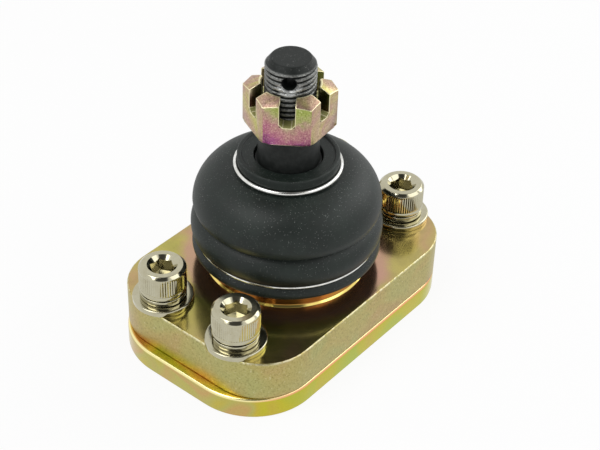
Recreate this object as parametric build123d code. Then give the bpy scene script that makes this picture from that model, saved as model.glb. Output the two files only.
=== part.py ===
from build123d import *
import os
from math import cos, pi, radians, sin, sqrt, tan

# Suspension ball joint on a bolt-on plate pair. Millimetres, +Z up along the stud.
# The origin is the centre of the lower plate's underside. +X runs along the plates' long side.

# Clearances.
PRESS_GAP = 0.02  # radial, between pieces that are pressed or screwed together
BALL_GAP = 0.03  # between the ball and its seats
THREAD_GAP = 0.05  # radial, nut bore over the stud's crest
BOOT_FIT = 0.15  # rubber against the metal that it grips
CLIP_FIT = 0.1  # wire in its groove in the rubber
SLOT_CLEARANCE = 0.1  # nut slot over the cotter pin's hole

# Lower clamp plate.
LOWER_LENGTH = 91.7
LOWER_WIDTH = 60.5
LOWER_CORNER = 20.0
LOWER_THICK = 6.5
LOWER_TOP_ROUND = 1.3
LOWER_BOTTOM_ROUND = 0.6

# Upper plate.
UPPER_END_STEP = 2.6  # how far the lower plate stands out past each end of the upper one
UPPER_SIDE_STEP = 0.2
UPPER_CORNER = 16.0
UPPER_THICK = 12.7
UPPER_EDGE_BREAK = 0.3

# Screw pattern, M8 screws and their washers.
SCREW_END_MARGIN = 6.65  # from a screw's axis to the upper plate's end
SCREW_SIDE_MARGIN = 16.75
SCREW_RADIUS = 4.0
SCREW_LENGTH = 20.0
SCREW_POINT = 0.8
SCREW_HOLE_GAP = 0.5
HEAD_RADIUS = 6.6
HEAD_HEIGHT = 8.0
HEAD_ROUND = 0.8
HEAD_FOOT_BREAK = 0.3
SOCKET_ACROSS_FLATS = 6.0
SOCKET_DEPTH = 4.7
SOCKET_MOUTH_RADIUS = 4.3
SOCKET_MOUTH_DEPTH = 0.75
SOCKET_DRILL_DEPTH = 1.3
SOCKET_TURNS = (-2.0, 40.0, -12.0, 25.0)  # degrees, as each screw was left when tightened
WASHER_RADIUS = 8.5
WASHER_HOLE_GAP = 0.2
WASHER_THICK = 1.6
WASHER_EDGE_BREAK = 0.2
SPRING_WIDTH = 2.3
SPRING_THICK = 1.6
SPRING_RISE = 0.6
SPRING_HOLE_GAP = 0.2
SPRING_SLIT = 1.4
SPRING_SLIT_TURNS = (100.0, 155.0, 70.0, 80.0)

# Ball and its seats.
BALL_RADIUS = 12.5
SEAT_WALL = 1.5
SEAT_PARTING = 0.4
GREASE_POCKET_RADIUS = 3.0
SWING_LIMIT = 25.0
MOUTH_GAP = 0.6

# Housing, its cover and the preload washer.
HOUSING_RECESS = 0.8
HOUSING_FOOT_BREAK = 0.5
SPIGOT_RADIUS = 19.5
COLLAR_RADIUS = 22.7
COLLAR_HEIGHT = 5.3
COLLAR_BREAK = 0.5
COLLAR_FOOT = 0.6  # width and height of the sloped foot on the plate
BOOT_SEAT_RADIUS = 20.4
BOOT_SEAT_HEIGHT = 5.6
BOOT_RIM_OVERHANG = 0.8
BOOT_RIM_THICK = 0.9
CRIMP_THICK = 1.2
CRIMP_OVERLAP = 1.8
COVER_THICK = 2.0
COVER_SHOULDER = 1.4
COVER_DISH = 0.7
PRELOAD_RADIUS = 13.0
PRELOAD_HOLE_RADIUS = 6.0
PRELOAD_THICK = 1.0
PRELOAD_HEIGHT = 2.0

# Ball stud, M14 thread and 1 in 8 taper. Heights run up from the ball's centre.
NECK_RADIUS = 6.5
NECK_TOP = 16.0
SHOULDER_RADIUS = 9.3
SHOULDER_BOTTOM = 26.5
SHOULDER_TOP = 33.4
TAPER_SMALL_RADIUS = 8.0
TAPER_LENGTH = 10.8
TAPER_SLOPE = 1 / 16  # radius over length
THREAD_RADIUS = 7.0
THREAD_LENGTH = 21.0
THREAD_RELIEF_RADIUS = 5.9
THREAD_RELIEF_LENGTH = 1.6
TIP_RADIUS = 5.4
TIP_CHAMFER_HEIGHT = 2.0
COTTER_RADIUS = 2.0
COTTER_FROM_TIP = 4.6

# Castle nut.
NUT_ACROSS_FLATS = 22.0
NUT_HEIGHT = 13.0
NUT_SLOT_DEPTH = 7.6
NUT_SLOT_CORNER = 0.6
NUT_CROWN_GAP = 0.6  # radial, between the nut's prongs and the stud's crest
NUT_SEAT = 0.5  # nut's underside above the taper's end
NUT_TOP_CONE_ANGLE = 22.0
NUT_TOP_FACE_RADIUS = 8.3
NUT_FOOT_CHAMFER_ANGLE = 30.0
NUT_FOOT_FACE_RADIUS = 11.8
NUT_BORE_MOUTH = 0.9
NUT_CROWN_BREAK = 0.4
NUT_TURN = 35.5  # degrees from +X to a flat's normal, with the cotter hole lined up

# Dust boot. Heights of the base and folds run up from the collar's top.
BOOT_WALL = 2.0
BEAD_RADIUS = 26.6
BEAD_ROUND = 1.1
BEAD_HEIGHT = 2.5
BASE_CLIP_HEIGHT = 3.3
BASE_CLIP_RADIUS = 25.1
BEAD_TOP_STEP = 0.5  # how far the bead's top stands out past the base clip's wire centre
FOLD_FOOT_STEP = 0.3
FOLD_RADIUS = 26.75
FOLD_MIDDLE = 7.2
FOLD_TOP = 13.0
GROOVE_RADIUS = 25.3
BELL_EDGE_RADIUS = 26.0
BELL_EDGE_RISE = 0.5
BELL_RADIUS = 26.6
BELL_MIDDLE = 15.6
DOME_TOP_RADIUS = 14.7
DOME_FULLNESS = 0.69  # how far the dome's middle stands out, 0.5 for a cone and 0.71 for an ellipse
DOME_BELOW_LIP = 4.35
NECK_CLIP_BELOW_LIP = 3.4
NECK_CLIP_RADIUS = 14.5
LIP_RADIUS = 14.1
LIP_RIM_WIDTH = 1.2
LIP_RIM_HEIGHT = 0.5
LIP_ABOVE_SHOULDER = 1.6
NECK_GRIP_HEIGHT = 7.4
CLIP_WIRE_RADIUS = 0.65
CLIP_OPENING = 7.0
CLIP_TURN = 60.0

# Sizes and levels that follow from the ones above.
UPPER_LENGTH = LOWER_LENGTH - 2 * UPPER_END_STEP
UPPER_WIDTH = LOWER_WIDTH - 2 * UPPER_SIDE_STEP
SCREW_SPACING_X = UPPER_LENGTH - 2 * SCREW_END_MARGIN
SCREW_SPACING_Y = UPPER_WIDTH - 2 * SCREW_SIDE_MARGIN
PLATE_TOP = LOWER_THICK + UPPER_THICK
WASHER_TOP = PLATE_TOP + WASHER_THICK
SCREW_SEAT = WASHER_TOP + SPRING_THICK + SPRING_RISE
COLLAR_TOP = PLATE_TOP + COLLAR_HEIGHT
HOUSING_TOP = COLLAR_TOP + BOOT_SEAT_HEIGHT
COVER_BOTTOM = HOUSING_RECESS + CRIMP_THICK
COVER_TOP = COVER_BOTTOM + COVER_THICK
SEAT_BOTTOM = COVER_TOP + PRELOAD_HEIGHT
SEAT_INNER_RADIUS = BALL_RADIUS + BALL_GAP
SEAT_RADIUS = SEAT_INNER_RADIUS + SEAT_WALL
CAVITY_RADIUS = SEAT_RADIUS + PRESS_GAP
BALL_LEVEL = SEAT_BOTTOM + SEAT_RADIUS
SHOULDER_LEVEL = BALL_LEVEL + SHOULDER_TOP
TAPER_END = SHOULDER_LEVEL + TAPER_LENGTH
TAPER_LARGE_RADIUS = TAPER_SMALL_RADIUS + TAPER_LENGTH * TAPER_SLOPE
STUD_TIP = TAPER_END + THREAD_LENGTH
COTTER_LEVEL = STUD_TIP - COTTER_FROM_TIP
NUT_BOTTOM = TAPER_END + NUT_SEAT
NUT_TOP = NUT_BOTTOM + NUT_HEIGHT
NUT_SLOT_WIDTH = 2 * COTTER_RADIUS + SLOT_CLEARANCE
BOOT_BASE = COLLAR_TOP + BOOT_FIT
LIP_LEVEL = SHOULDER_LEVEL + LIP_ABOVE_SHOULDER
NECK_CLIP_LEVEL = LIP_LEVEL - NECK_CLIP_BELOW_LIP
BASE_CLIP_LEVEL = BOOT_BASE + BASE_CLIP_HEIGHT
CLIP_GROOVE_RADIUS = CLIP_WIRE_RADIUS + CLIP_FIT
FOLD_FOOT_RADIUS = BASE_CLIP_RADIUS + FOLD_FOOT_STEP
SCREW_PLACES = [
    (x * SCREW_SPACING_X / 2, y * SCREW_SPACING_Y / 2)
    for x, y in ((-1, 1), (-1, -1), (1, -1), (1, 1))
]


def turned(*outline):
    """Solid of revolution about Z from joined lines and arcs drawn as (radius, height)."""
    face = make_face(Plane.XZ * (Curve() + list(outline)))
    return revolve(face, Axis.Z)


def turned_polygon(*corners):
    """Solid of revolution about Z from straight-sided (radius, height) corners."""
    return turned(Polyline(*corners, close=True))


def mouth_radius(level):
    """Radius that clears the stud's neck at full swing, at a height in the part's frame."""
    rise = level - BALL_LEVEL
    swing = radians(SWING_LIMIT)
    return NECK_RADIUS / cos(swing) + rise * tan(swing) + MOUTH_GAP


def mouth_cutter():
    """Cone over the ball that the stud's neck sweeps inside."""
    top = max(HOUSING_TOP, BALL_LEVEL + CAVITY_RADIUS) + MOUTH_GAP
    return turned_polygon(
        (0, BALL_LEVEL),
        (mouth_radius(BALL_LEVEL), BALL_LEVEL),
        (mouth_radius(top), top),
        (0, top),
    )


def round_hole(radius, bottom, top, place=(0, 0)):
    """Upright cylinder used as a cutter."""
    height = top - bottom
    return Pos(place[0], place[1], (bottom + top) / 2) * Cylinder(radius, height)


def plate_blank(length, width, corner, bottom, thick):
    """Flat plate with four rounded corners, centred on the origin."""
    outline = Plane.XY.offset(bottom) * RectangleRounded(length, width, corner)
    return extrude(outline, thick)


def plate_with_holes(blank, bottom, top, screw_hole_radius):
    """Plate with the housing's bore and the four screw holes."""
    plate = blank - round_hole(SPIGOT_RADIUS + PRESS_GAP, bottom, top)
    for place in SCREW_PLACES:
        plate -= round_hole(screw_hole_radius, bottom, top, place)
    return plate


def lower_plate():
    """Thin clamp plate with tapped holes and a rounded rim."""
    blank = plate_blank(LOWER_LENGTH, LOWER_WIDTH, LOWER_CORNER, 0, LOWER_THICK)
    rims = blank.faces().sort_by(Axis.Z)
    blank = fillet(rims[-1].edges(), LOWER_TOP_ROUND)
    blank = fillet(blank.faces().sort_by(Axis.Z)[0].edges(), LOWER_BOTTOM_ROUND)
    return plate_with_holes(blank, 0, LOWER_THICK, SCREW_RADIUS + PRESS_GAP)


def upper_plate():
    """Thick plate with clearance holes and lightly broken edges."""
    blank = plate_blank(UPPER_LENGTH, UPPER_WIDTH, UPPER_CORNER, LOWER_THICK, UPPER_THICK)
    rims = blank.faces().sort_by(Axis.Z)
    blank = chamfer(rims[-1].edges() + rims[0].edges(), UPPER_EDGE_BREAK)
    return plate_with_holes(blank, LOWER_THICK, PLATE_TOP, SCREW_RADIUS + SCREW_HOLE_GAP)


def housing_outside():
    """Spigot, collar and boot seat as one turned blank."""
    rim_radius = BOOT_SEAT_RADIUS + BOOT_RIM_OVERHANG
    rim_foot = HOUSING_TOP - BOOT_RIM_THICK
    return turned_polygon(
        (0, HOUSING_RECESS),
        (SPIGOT_RADIUS - HOUSING_FOOT_BREAK, HOUSING_RECESS),
        (SPIGOT_RADIUS, HOUSING_RECESS + HOUSING_FOOT_BREAK),
        (SPIGOT_RADIUS, PLATE_TOP),
        (COLLAR_RADIUS + COLLAR_FOOT, PLATE_TOP),
        (COLLAR_RADIUS, PLATE_TOP + COLLAR_FOOT),
        (COLLAR_RADIUS, COLLAR_TOP - COLLAR_BREAK),
        (COLLAR_RADIUS - COLLAR_BREAK, COLLAR_TOP),
        (BOOT_SEAT_RADIUS, COLLAR_TOP),
        (BOOT_SEAT_RADIUS, rim_foot),
        (rim_radius, rim_foot),
        (rim_radius - BOOT_RIM_OVERHANG / 2, HOUSING_TOP),
        (0, HOUSING_TOP),
    )


def ball_housing():
    """Turned housing: seat cavity, swing mouth, cover bore and rolled edge."""
    cover_bore = CAVITY_RADIUS + COVER_SHOULDER
    housing = housing_outside()
    housing -= Pos(0, 0, BALL_LEVEL) * Sphere(CAVITY_RADIUS)
    housing -= round_hole(CAVITY_RADIUS, COVER_TOP, BALL_LEVEL)
    housing -= round_hole(cover_bore, COVER_BOTTOM, COVER_TOP)
    housing -= round_hole(cover_bore - CRIMP_OVERLAP, HOUSING_RECESS, COVER_BOTTOM)
    return housing - mouth_cutter()


def end_cover():
    """Disc that closes the housing, dished on its outer side."""
    radius = CAVITY_RADIUS + COVER_SHOULDER - PRESS_GAP
    dish = radius - CRIMP_OVERLAP - COVER_DISH
    return turned_polygon(
        (0, COVER_BOTTOM + COVER_DISH),
        (dish - COVER_DISH, COVER_BOTTOM + COVER_DISH),
        (dish, COVER_BOTTOM),
        (radius, COVER_BOTTOM),
        (radius, COVER_TOP),
        (0, COVER_TOP),
    )


def preload_washer():
    """Conical spring washer, wide side down on the cover, narrow side up on the seat."""
    return turned_polygon(
        (PRELOAD_RADIUS, COVER_TOP),
        (PRELOAD_RADIUS, COVER_TOP + PRELOAD_THICK),
        (PRELOAD_HOLE_RADIUS, SEAT_BOTTOM),
        (PRELOAD_HOLE_RADIUS, SEAT_BOTTOM - PRELOAD_THICK),
    )


def lower_seat():
    """Bearing cup under the ball with a grease pocket at its middle."""
    top = BALL_LEVEL - SEAT_PARTING / 2
    seat = round_hole(SEAT_RADIUS, SEAT_BOTTOM, top)
    seat -= Pos(0, 0, BALL_LEVEL) * Sphere(SEAT_INNER_RADIUS)
    return seat - round_hole(GREASE_POCKET_RADIUS, SEAT_BOTTOM, BALL_LEVEL)


def upper_seat():
    """Bearing shell over the ball, open for the stud's swing."""
    bottom = BALL_LEVEL + SEAT_PARTING / 2
    seat = Pos(0, 0, BALL_LEVEL) * Sphere(SEAT_RADIUS)
    seat -= Pos(0, 0, BALL_LEVEL) * Sphere(SEAT_INNER_RADIUS)
    seat -= round_hole(SEAT_RADIUS + MOUTH_GAP, BALL_LEVEL - SEAT_RADIUS, bottom)
    return seat - mouth_cutter()


def ball_stud():
    """Ball, neck, boot shoulder, taper and thread blank, cross-drilled for the cotter pin."""
    neck_foot = BALL_LEVEL + sqrt(BALL_RADIUS**2 - NECK_RADIUS**2)
    shank = turned_polygon(
        (0, BALL_LEVEL),
        (NECK_RADIUS, neck_foot - PRESS_GAP),
        (NECK_RADIUS, BALL_LEVEL + NECK_TOP),
        (SHOULDER_RADIUS, BALL_LEVEL + SHOULDER_BOTTOM),
        (SHOULDER_RADIUS, SHOULDER_LEVEL),
        (TAPER_LARGE_RADIUS, SHOULDER_LEVEL),
        (TAPER_SMALL_RADIUS, TAPER_END),
        (THREAD_RELIEF_RADIUS, TAPER_END),
        (THREAD_RELIEF_RADIUS, TAPER_END + THREAD_RELIEF_LENGTH),
        (THREAD_RADIUS, TAPER_END + THREAD_RELIEF_LENGTH + THREAD_RADIUS - THREAD_RELIEF_RADIUS),
        (THREAD_RADIUS, STUD_TIP - TIP_CHAMFER_HEIGHT),
        (TIP_RADIUS, STUD_TIP),
        (0, STUD_TIP),
    )
    stud = shank + Pos(0, 0, BALL_LEVEL) * Sphere(BALL_RADIUS)
    drill = Pos(0, 0, COTTER_LEVEL) * Rot(0, 90, 0) * Cylinder(COTTER_RADIUS, 3 * THREAD_RADIUS)
    return stud - Rot(0, 0, NUT_TURN) * drill


def nut_envelope():
    """Turned shape that cones the prongs' tops and chamfers the hexagon's foot."""
    corner_radius = NUT_ACROSS_FLATS / 2 / cos(pi / 6)
    top_drop = (corner_radius - NUT_TOP_FACE_RADIUS) * tan(radians(NUT_TOP_CONE_ANGLE))
    foot_rise = (corner_radius - NUT_FOOT_FACE_RADIUS) * tan(radians(NUT_FOOT_CHAMFER_ANGLE))
    return turned_polygon(
        (0, NUT_BOTTOM),
        (NUT_FOOT_FACE_RADIUS, NUT_BOTTOM),
        (corner_radius, NUT_BOTTOM + foot_rise),
        (corner_radius, NUT_TOP - top_drop),
        (NUT_TOP_FACE_RADIUS, NUT_TOP),
        (0, NUT_TOP),
    )


def nut_bore():
    """Bore over the stud's crests, wider between the prongs, with a chamfered mouth below."""
    radius = THREAD_RADIUS + THREAD_GAP
    crown_radius = THREAD_RADIUS + NUT_CROWN_GAP
    crown_foot = NUT_TOP - NUT_SLOT_DEPTH
    return turned_polygon(
        (0, NUT_BOTTOM),
        (radius + NUT_BORE_MOUTH, NUT_BOTTOM),
        (radius, NUT_BOTTOM + NUT_BORE_MOUTH),
        (radius, crown_foot),
        (crown_radius, crown_foot + crown_radius - radius),
        (crown_radius, NUT_TOP - NUT_CROWN_BREAK),
        (crown_radius + NUT_CROWN_BREAK, NUT_TOP),
        (0, NUT_TOP),
    )


def nut_slot():
    """Slot across the nut for the cotter pin, with its bottom corners cut at 45 degrees."""
    half_width = NUT_SLOT_WIDTH / 2
    bottom = NUT_TOP - NUT_SLOT_DEPTH
    section = Polyline(
        (half_width - NUT_SLOT_CORNER, bottom),
        (half_width, bottom + NUT_SLOT_CORNER),
        (half_width, NUT_TOP),
        (-half_width, NUT_TOP),
        (-half_width, bottom + NUT_SLOT_CORNER),
        (NUT_SLOT_CORNER - half_width, bottom),
        close=True,
    )
    return extrude(make_face(Plane.YZ * section), NUT_ACROSS_FLATS, both=True)


def castle_nut():
    """Hexagon nut with a slot through the middle of each flat."""
    hexagon = RegularPolygon(NUT_ACROSS_FLATS / 2, 6, major_radius=False, rotation=30)
    nut = extrude(Plane.XY.offset(NUT_BOTTOM) * hexagon, NUT_HEIGHT)
    nut = (nut & nut_envelope()) - nut_bore()
    for turn in (0, 60, 120):
        nut -= Rot(0, 0, turn) * nut_slot()
    return Rot(0, 0, NUT_TURN) * nut


def boot_outside():
    """Boot's outer form as a solid: base bead, fold, bell and neck lip."""
    bead_top = (BASE_CLIP_RADIUS + BEAD_TOP_STEP, BOOT_BASE + BEAD_HEIGHT)
    fold_foot = (FOLD_FOOT_RADIUS, BASE_CLIP_LEVEL + CLIP_GROOVE_RADIUS)
    groove = (GROOVE_RADIUS, COLLAR_TOP + FOLD_TOP)
    bell_edge = (BELL_EDGE_RADIUS, groove[1] + BELL_EDGE_RISE)
    bell = (BELL_RADIUS, COLLAR_TOP + BELL_MIDDLE)
    dome_top = (DOME_TOP_RADIUS, LIP_LEVEL - DOME_BELOW_LIP)
    dome_middle = (
        dome_top[0] + (bell[0] - dome_top[0]) * DOME_FULLNESS,
        bell[1] + (dome_top[1] - bell[1]) * DOME_FULLNESS,
    )
    return turned(
        Polyline(
            (0, BOOT_BASE),
            (BEAD_RADIUS - BEAD_ROUND, BOOT_BASE),
            (BEAD_RADIUS, BOOT_BASE + BEAD_ROUND),
            bead_top,
            fold_foot,
        ),
        ThreePointArc(fold_foot, (FOLD_RADIUS, COLLAR_TOP + FOLD_MIDDLE), groove),
        Polyline(groove, bell_edge, bell),
        ThreePointArc(bell, dome_middle, dome_top),
        Polyline(
            dome_top,
            (LIP_RADIUS, NECK_CLIP_LEVEL),
            (LIP_RADIUS, LIP_LEVEL),
            (0, LIP_LEVEL),
            (0, BOOT_BASE),
        ),
    )


def boot_inside():
    """Hollow of the boot: base bore, folds one wall inside the outer form, and neck grip."""
    base_bore = BOOT_SEAT_RADIUS + BOOT_FIT
    rim_foot = HOUSING_TOP - BOOT_RIM_THICK - BOOT_FIT
    rim_clear = BOOT_SEAT_RADIUS + BOOT_RIM_OVERHANG + BOOT_FIT
    fold_foot = (max(FOLD_FOOT_RADIUS - BOOT_WALL, rim_clear), HOUSING_TOP)
    groove = (GROOVE_RADIUS - BOOT_WALL, COLLAR_TOP + FOLD_TOP)
    bell = (BELL_RADIUS - BOOT_WALL, COLLAR_TOP + BELL_MIDDLE)
    grip_foot = LIP_LEVEL - NECK_GRIP_HEIGHT
    grip_radius = SHOULDER_RADIUS + BOOT_FIT
    dome_top = (DOME_TOP_RADIUS - BOOT_WALL, grip_foot)
    dome_middle = (
        dome_top[0] + (bell[0] - dome_top[0]) * DOME_FULLNESS,
        bell[1] + (dome_top[1] - bell[1]) * DOME_FULLNESS,
    )
    return turned(
        Polyline(
            (0, BOOT_BASE),
            (base_bore, BOOT_BASE),
            (base_bore, rim_foot),
            (rim_clear, rim_foot),
            fold_foot,
        ),
        ThreePointArc(fold_foot, (FOLD_RADIUS - BOOT_WALL, COLLAR_TOP + FOLD_MIDDLE), groove),
        Line(groove, bell),
        ThreePointArc(bell, dome_middle, dome_top),
        Polyline(
            dome_top,
            (grip_radius, grip_foot),
            (grip_radius, LIP_LEVEL),
            (0, LIP_LEVEL),
            (0, BOOT_BASE),
        ),
    )


def wire_ring(ring_radius, level, wire_radius):
    """Full torus about Z, used for a clip or for its groove."""
    return Pos(0, 0, level) * Torus(ring_radius, wire_radius)


def dust_boot():
    """Rubber boot with its neck lip and the two clip grooves."""
    boot = boot_outside() - boot_inside()
    lip_dish = round_hole(LIP_RADIUS - LIP_RIM_WIDTH, LIP_LEVEL - LIP_RIM_HEIGHT, LIP_LEVEL)
    boot -= lip_dish
    boot -= wire_ring(NECK_CLIP_RADIUS, NECK_CLIP_LEVEL, CLIP_GROOVE_RADIUS)
    return boot - wire_ring(BASE_CLIP_RADIUS, BASE_CLIP_LEVEL, CLIP_GROOVE_RADIUS)


def boot_clip(ring_radius, level):
    """Spring wire ring with its ends a short way apart."""
    section = Plane.XZ * Pos(ring_radius, level) * Circle(CLIP_WIRE_RADIUS)
    ring = revolve(section, Axis.Z, 360 - CLIP_OPENING)
    return Rot(0, 0, CLIP_TURN) * ring


def cap_screw(place, socket_turn):
    """Socket head cap screw: turned head and shank, hexagon socket with its drill point."""
    head_top = SCREW_SEAT + HEAD_HEIGHT
    point = SCREW_SEAT - SCREW_LENGTH
    screw = turned_polygon(
        (0, point),
        (SCREW_RADIUS - SCREW_POINT, point),
        (SCREW_RADIUS, point + SCREW_POINT),
        (SCREW_RADIUS, SCREW_SEAT),
        (HEAD_RADIUS - HEAD_FOOT_BREAK, SCREW_SEAT),
        (HEAD_RADIUS, SCREW_SEAT + HEAD_FOOT_BREAK),
        (HEAD_RADIUS, head_top),
        (0, head_top),
    )
    rim = screw.edges().filter_by(GeomType.CIRCLE).sort_by(Axis.Z)[-1]
    screw = fillet(rim, HEAD_ROUND)
    corner_radius = SOCKET_ACROSS_FLATS / 2 / cos(pi / 6)
    socket_floor = head_top - SOCKET_DEPTH
    hexagon = RegularPolygon(SOCKET_ACROSS_FLATS / 2, 6, major_radius=False)
    screw -= extrude(Plane.XY.offset(socket_floor) * hexagon, SOCKET_DEPTH)
    screw -= turned_polygon(
        (0, head_top),
        (SOCKET_MOUTH_RADIUS, head_top),
        (SOCKET_ACROSS_FLATS / 2, head_top - SOCKET_MOUTH_DEPTH),
        (0, head_top - SOCKET_MOUTH_DEPTH),
    )
    screw -= turned_polygon(
        (0, socket_floor),
        (corner_radius * cos(pi / 6), socket_floor),
        (0, socket_floor - SOCKET_DRILL_DEPTH),
    )
    return Pos(*place, 0) * Rot(0, 0, socket_turn) * screw


def spring_washer(place, slit_turn):
    """Split spring washer: a square-section ring that climbs from one end to the other."""
    inner = SCREW_RADIUS + SPRING_HOLE_GAP
    middle = inner + SPRING_WIDTH / 2
    open_angle = 360 * SPRING_SLIT / (2 * pi * middle)
    closed_share = 1 - open_angle / 360
    path = Helix(SPRING_RISE / closed_share, SPRING_RISE, middle)
    start = Plane(origin=path @ 0, x_dir=(1, 0, 0), z_dir=path % 0)
    ring = sweep(start * Rectangle(SPRING_WIDTH, SPRING_THICK), path, is_frenet=True)
    return Pos(*place, WASHER_TOP + SPRING_THICK / 2) * Rot(0, 0, slit_turn) * ring


def flat_washer(place):
    """Plain washer on the upper plate."""
    washer = turned_polygon(
        (SCREW_RADIUS + WASHER_HOLE_GAP, PLATE_TOP),
        (WASHER_RADIUS, PLATE_TOP),
        (WASHER_RADIUS, WASHER_TOP - WASHER_EDGE_BREAK),
        (WASHER_RADIUS - WASHER_EDGE_BREAK, WASHER_TOP),
        (SCREW_RADIUS + WASHER_HOLE_GAP, WASHER_TOP),
    )
    return Pos(*place, 0) * washer


def write_parts(parts):
    """Write each named piece to its own STEP file."""
    os.makedirs("parts", exist_ok=True)
    for name, shape in parts.items():
        export_step(shape, f"parts/{name}.step")


pieces = {
    "lower_plate": lower_plate(),
    "upper_plate": upper_plate(),
    "ball_housing": ball_housing(),
    "end_cover": end_cover(),
    "preload_washer": preload_washer(),
    "lower_seat": lower_seat(),
    "upper_seat": upper_seat(),
    "ball_stud": ball_stud(),
    "castle_nut": castle_nut(),
    "dust_boot": dust_boot(),
    "boot_neck_clip": boot_clip(NECK_CLIP_RADIUS, NECK_CLIP_LEVEL),
    "boot_base_clip": boot_clip(BASE_CLIP_RADIUS, BASE_CLIP_LEVEL),
}
for number, place in enumerate(SCREW_PLACES, start=1):
    pieces[f"cap_screw_{number}"] = cap_screw(place, SOCKET_TURNS[number - 1])
    pieces[f"spring_washer_{number}"] = spring_washer(place, SPRING_SLIT_TURNS[number - 1])
    pieces[f"flat_washer_{number}"] = flat_washer(place)
write_parts(pieces)
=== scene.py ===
"""Looks for a bolt-on suspension ball joint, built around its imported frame.

Sizes are in millimetres in the classes below and become metres when a mesh is made.
"""

from __future__ import annotations

import logging
from collections.abc import Callable, Sequence
from dataclasses import dataclass, field
from enum import Enum
from math import atan2, cos, pi, radians, sin, sqrt, tan, tau
from typing import Any

import bmesh
import bpy
from mathutils import Matrix, Vector

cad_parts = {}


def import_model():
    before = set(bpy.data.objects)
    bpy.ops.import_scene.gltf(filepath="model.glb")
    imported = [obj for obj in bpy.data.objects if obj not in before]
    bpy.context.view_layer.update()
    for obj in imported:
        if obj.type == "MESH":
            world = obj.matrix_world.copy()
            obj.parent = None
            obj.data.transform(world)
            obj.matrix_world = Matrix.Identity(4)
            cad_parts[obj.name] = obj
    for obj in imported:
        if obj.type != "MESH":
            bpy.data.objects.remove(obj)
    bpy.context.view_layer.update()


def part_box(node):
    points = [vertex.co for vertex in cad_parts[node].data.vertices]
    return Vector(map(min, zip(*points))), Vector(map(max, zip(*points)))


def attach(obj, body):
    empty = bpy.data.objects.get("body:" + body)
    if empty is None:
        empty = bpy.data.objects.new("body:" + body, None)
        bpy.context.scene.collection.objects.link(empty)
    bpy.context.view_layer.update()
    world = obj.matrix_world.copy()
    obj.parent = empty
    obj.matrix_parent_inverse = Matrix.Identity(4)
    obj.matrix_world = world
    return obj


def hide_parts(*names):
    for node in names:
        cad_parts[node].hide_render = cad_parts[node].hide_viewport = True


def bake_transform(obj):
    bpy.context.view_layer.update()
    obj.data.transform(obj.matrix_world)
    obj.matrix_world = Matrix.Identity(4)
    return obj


log = logging.getLogger("ball_joint")

MM = 0.001
Point = tuple[float, float]
Colour = tuple[float, float, float]


class Body(Enum):
    """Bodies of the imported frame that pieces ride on."""

    HOUSING = "housing"
    SEAT = "seat"
    BOOT_NECK = "boot_neck"
    STUD = "stud"


class Slot(Enum):
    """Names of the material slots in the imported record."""

    LOWER_PLATE = "lower_plate_zinc"
    UPPER_PLATE = "upper_plate_zinc"
    HOUSING = "housing_zinc"
    NUT = "nut_zinc"
    SCREWS = "screw_nickel"
    CLIPS = "clip_wire"
    STUD = "stud_phosphate"
    BOOT = "boot_rubber"


# ---------------------------------------------------------------- shader tools


class Value:
    """A shader number. Arithmetic on it adds Math nodes to its graph."""

    def __init__(self, graph: Graph, socket: bpy.types.NodeSocket) -> None:
        """Wrap a socket.

        Args:
            graph: The graph that the socket belongs to.
            socket: The output socket to wrap.
        """
        self.graph = graph
        self.socket = socket

    def _math(self, operation: str, first: Any, second: Any = 0.0) -> Value:
        """Add one Math node.

        Args:
            operation: The node's operation.
            first: Its first input.
            second: Its second input.

        Returns:
            The node's result.
        """
        node = self.graph.node(
            "ShaderNodeMath", {"operation": operation}, {0: first, 1: second}
        )
        return Value(self.graph, node.outputs[0])

    def __add__(self, other: Value | float) -> Value:
        """Return self + other."""
        return self._math("ADD", self, other)

    def __sub__(self, other: Value | float) -> Value:
        """Return self - other."""
        return self._math("SUBTRACT", self, other)

    def __rsub__(self, other: float) -> Value:
        """Return other - self."""
        return self._math("SUBTRACT", other, self)

    def __mul__(self, other: Value | float) -> Value:
        """Return self * other."""
        return self._math("MULTIPLY", self, other)

    def __abs__(self) -> Value:
        """Return the value without its sign."""
        return self._math("ABSOLUTE", self)

    def power(self, exponent: float) -> Value:
        """Return the value raised to an exponent."""
        return self._math("POWER", self, exponent)

    def larger(self, other: Value | float) -> Value:
        """Return the larger of two values."""
        return self._math("MAXIMUM", self, other)

    def step(self, low: float, high: float) -> Value:
        """Return a smooth step from 0 at low to 1 at high.

        Args:
            low: Where the step starts.
            high: Where the step ends.

        Returns:
            The stepped value.
        """
        node = self.graph.node(
            "ShaderNodeMapRange",
            {"interpolation_type": "SMOOTHSTEP"},
            {"Value": self, "From Min": low, "From Max": high},
        )
        return Value(self.graph, node.outputs["Result"])


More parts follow.
